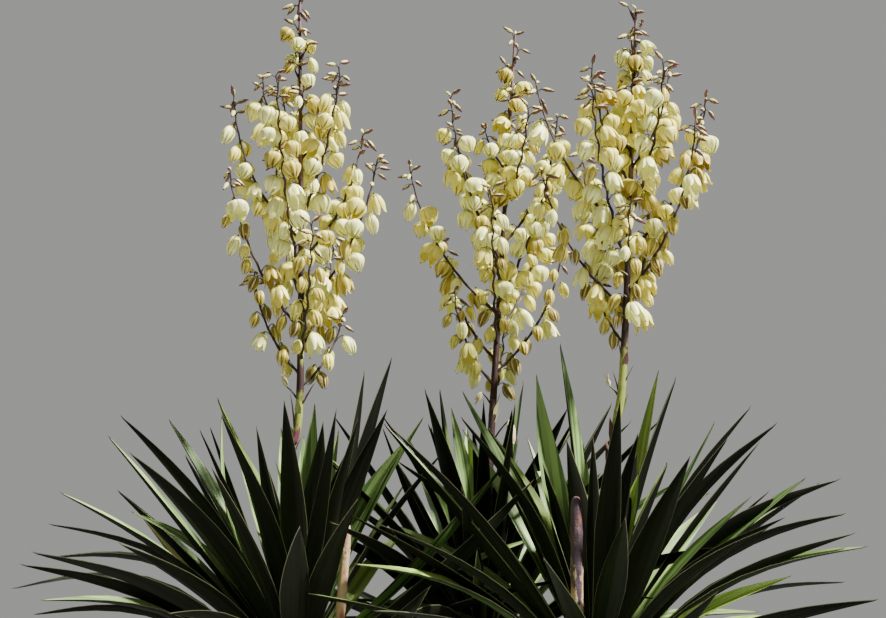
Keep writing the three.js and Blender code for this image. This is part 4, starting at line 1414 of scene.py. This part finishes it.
class YUCCA_OT_bells(bpy.types.Operator):
    """Hangs the bells, each of six overlapping petals, on their stems"""

    bl_idname = "yucca.bells"
    bl_label = "Bells"

    def execute(self, context):
        looks = context.scene.yucca_spray
        bells = {}
        for n, (name, kind) in enumerate(BELL_KINDS.items()):
            bells[name] = [bell_template(looks, kind, TWINS * n + m) for m in range(TWINS)]
        materials = [
            petal("fresh_white_petal", looks.white),
            petal("cream_petal", looks.cream),
            petal("aged_petal", looks.warm),
            petal("greenish_petal_rib", looks.rib),
            petal("green_petal_base", looks.base),
            petal("pinkish_petal_tip", looks.tip),
            petal("browned_petal", looks.browned),
        ]
        for head in HEADS:
            shape = Shape()
            for flower in place_flowers(looks, head):
                if not flower.bud:
                    kind, tone, size = self.kind_and_tone(head, flower)
                    template = bells[kind][int(TWINS * chance(head.seed, flower.index, 7))]
                    hang(shape, template, flower.neck, flower.down, flower.side, size, tone)
            piece = shape.make(head.name + "_bells", materials, 70)
            finish_piece(piece, "blossom", head.name + "_flower_spray")
        return {"FINISHED"}

    def kind_and_tone(self, head, flower):
        """Kind, tone and size of a bell. The lowest ones are the oldest, and most of them are narrow."""
        luck, age = chance(head.seed, flower.index, 5), chance(head.seed, flower.index, 6)
        tone = FRESH if age < 0.42 else CREAM if age < 0.84 else AGED
        if flower.share < 0.2 and luck < 0.6:
            return "narrow", BROWNED if age < 0.3 else AGED if age < 0.7 else tone, 0.9 * flower.size
        shares = np.cumsum([kind.share for kind in BELL_KINDS.values()])
        place = min(int(np.searchsorted(shares, luck)), len(BELL_KINDS) - 1)
        return list(BELL_KINDS)[place], tone, flower.size


BUD_BODY, BUD_TIP, BUD_STEM, BUD_FLUSH_AND_SHADE = range(4)
BUD_SIDES = 8
# Buds at the end of a twig: their turn from its bearing and how far below its tip they stand
CLUSTER = ((75, 0), (-80, 2 * MM), (165, 13 * MM), (20, 22 * MM), (-120, 33 * MM))


class YUCCA_OT_buds(bpy.types.Operator):
    """Sets the slim buds on the ends of the twigs"""

    bl_idname = "yucca.buds"
    bl_label = "Buds"

    def execute(self, context):
        looks = context.scene.yucca_spray
        stalks = context.scene.yucca_stalks
        materials = [
            plain("cream_green_bud", looks.bud, 0.5),
            plain("pink_purple_bud_tip", looks.bud_tip, 0.5),
            plain("purple_bud_stem", stalks.dark, 0.5),
            plain("flushed_bud_side", looks.flush, 0.5),
        ]
        for head in HEADS:
            shape = Shape()
            for flower in place_flowers(looks, head):
                if flower.bud:
                    self.bud(shape, looks, flower.root, flower.bearing, 40 - 3 * flower.lean, flower.size)
            for j in range(BRANCHES):
                self.cluster(shape, looks, head, branch_of(head, j))
            self.bud(shape, looks, stalk_path(head).at(0.998), head.phase, 56, 0.6)
            piece = shape.make(head.name + "_buds", materials, 60)
            finish_piece(piece, "blossom", head.name + "_flower_spray")
        return {"FINISHED"}

    def cluster(self, shape, looks, head, branch):
        """Buds at the end of a twig, two of them spread to either side of its tip."""
        for k, (turn, below) in enumerate(CLUSTER[: 5 if branch.length > 150 * MM else 3]):
            luck = chance(head.seed, 3000 + 10 * branch.j + k, 1)
            bearing = branch.bearing + (turn + 50 * (luck - 0.5))
            root = along_branch(branch, 1 - below / branch.length)
            rise = (52 if k < 2 else 30) - 74 * chance(head.seed, 3000 + 10 * branch.j + k, 2)
            self.bud(shape, looks, root, bearing, rise, 0.8 + 0.2 * luck)

    def bud(self, shape, looks, root, bearing, rise, size):
        """Spindle-shaped bud on a short stem that bends over. Its lower side is purple-brown: partly a real
        flush, partly painted shade.
        """
        side = aside(bearing)
        stem = 14 * MM * size
        neck = root + heading(bearing, rise + 32) * stem
        out = heading(bearing, rise - 8)
        reach = looks.bud_length * size
        shares = np.array((0, 0.08, 0.28, 0.55, 0.82))
        radii = np.array((0.36, 0.74, 1.0, 0.86, 0.42)) * looks.bud_radius * size
        body = neck + out * (reach * shares)[:, None]
        centres = np.vstack((root, lerp(root, neck, 0.55) + UP * 1.5 * MM, body))
        travels = np.vstack((heading(bearing, rise + 50), heading(bearing, rise + 20), np.tile(out, (5, 1))))
        radii = np.concatenate(((1.4 * MM, 1.2 * MM), radii))
        slots = np.full((6, BUD_SIDES), BUD_BODY)
        # The lower side takes the flush colour, partly a real purple flush and partly painted shade. The
        # tip's purple reaching back round the lower half of the ring before the tip is partly painted shade
        # too.
        slots[:, 4:7] = BUD_FLUSH_AND_SHADE
        slots[:2] = BUD_STEM
        slots[5, 3:8] = BUD_TIP
        rings = rings_along(centres, travels, side, radii, BUD_SIDES)
        loft(shape, rings, slots, end=neck + out * reach, end_slots=(BUD_STEM, BUD_TIP))


# Stage


class StageLooks(bpy.types.PropertyGroup):
    """Floor, light and camera."""

    floor: tint("Floor", "#bebeba", "Plain pale floor")
    backdrop: tint("Surroundings", "#e8e9e6", "Plain pale light from all round")
    fill: FloatProperty(name="Fill", description="Strength of the light from all round", default=0.42)
    key: FloatProperty(name="Key", description="Strength of the soft key light", default=19)
    pitch: FloatProperty(
        name="Camera pitch",
        description="How far the camera looks up",
        default=math.radians(14),
        subtype="ANGLE",
    )
    lens: FloatProperty(name="Lens", description="Focal length in millimetres", default=76.5)


CAMERA_PLACE = (-51 * MM, -4200 * MM, 1450 * MM)
KEY_ANGLES = (36, 0, 68)
KEY_SPREAD = 6
FLOOR_RADIUS = 3.1


class YUCCA_OT_stage(bpy.types.Operator):
    """Sets the floor, the soft light and the camera"""

    bl_idname = "yucca.stage"
    bl_label = "Floor, light and camera"

    def execute(self, context):
        looks = context.scene.yucca_stage
        self.floor(looks)
        self.light(context, looks)
        self.camera(context, looks)
        return {"FINISHED"}

    def floor(self, looks):
        """Round level floor at the foot of the trunk, small enough to throw little light back up."""
        corners = polar(FLOOR_RADIUS, np.radians(np.arange(0, 360, 5)), 0).tolist()
        mesh = bpy.data.meshes.new("floor")
        mesh.from_pydata(corners, [], [tuple(range(len(corners)))])
        mesh.materials.append(plain("matt_painted_floor", looks.floor, 0.9))
        floor = bpy.data.objects.new("floor", mesh)
        bpy.context.scene.collection.objects.link(floor)

    def light(self, context, looks):
        """Even pale surroundings, and one broad key light high on the right and a little behind."""
        world = bpy.data.worlds.new("pale_surroundings")
        world.use_nodes = True
        background = world.node_tree.nodes["Background"]
        background.inputs["Color"].default_value = (*looks.backdrop, 1)
        background.inputs["Strength"].default_value = looks.fill
        context.scene.world = world
        lamp = bpy.data.lights.new("soft_key", "SUN")
        lamp.energy = looks.key
        lamp.angle = math.radians(KEY_SPREAD)
        key = bpy.data.objects.new("soft_key", lamp)
        key.rotation_euler = [math.radians(a) for a in KEY_ANGLES]
        context.scene.collection.objects.link(key)

    def camera(self, context, looks):
        """Camera at head height in front of the plant, looking up."""
        made = bpy.data.cameras.new("camera")
        made.lens = looks.lens
        made.clip_end = 200
        camera = bpy.data.objects.new("camera", made)
        camera.location = CAMERA_PLACE
        camera.rotation_euler = (math.pi / 2 + looks.pitch, 0, 0)
        context.scene.collection.objects.link(camera)
        context.scene.camera = camera


class YUCCA_PT_panel(bpy.types.Panel):
    """Yucca settings and steps in the sidebar"""

    bl_idname = "YUCCA_PT_panel"
    bl_label = "Branched yucca"
    bl_space_type = "VIEW_3D"
    bl_region_type = "UI"
    bl_category = "Yucca"

    def draw(self, context):
        for operator in OPERATORS:
            self.layout.operator(operator.bl_idname)
        for name, group in SETTINGS.items():
            box = self.layout.box()
            for setting in group.__annotations__:
                box.prop(getattr(context.scene, name), setting)


SETTINGS = {
    "yucca_bark": BarkLooks,
    "yucca_dry": DryLooks,
    "yucca_leaves": LeafLooks,
    "yucca_stalks": StalkLooks,
    "yucca_spray": SprayLooks,
    "yucca_stage": StageLooks,
}
OPERATORS = (
    YUCCA_OT_bark,
    YUCCA_OT_cut_stalks,
    YUCCA_OT_leaves,
    YUCCA_OT_stalks,
    YUCCA_OT_twigs,
    YUCCA_OT_bells,
    YUCCA_OT_buds,
    YUCCA_OT_stage,
)


def register():
    for made in (*SETTINGS.values(), *OPERATORS, YUCCA_PT_panel):
        bpy.utils.register_class(made)
    for name, group in SETTINGS.items():
        setattr(bpy.types.Scene, name, PointerProperty(type=group))


def unregister():
    for name in SETTINGS:
        delattr(bpy.types.Scene, name)
    for made in (YUCCA_PT_panel, *OPERATORS, *SETTINGS.values()):
        bpy.utils.unregister_class(made)


def main():
    """Builds every piece in order."""
    register()
    bpy.ops.yucca.bark()
    bpy.ops.yucca.cut_stalks()
    bpy.ops.yucca.leaves()
    bpy.ops.yucca.stalks()
    bpy.ops.yucca.twigs()
    bpy.ops.yucca.bells()
    bpy.ops.yucca.buds()
    bpy.ops.yucca.stage()


if __name__ == "__main__":
    main()
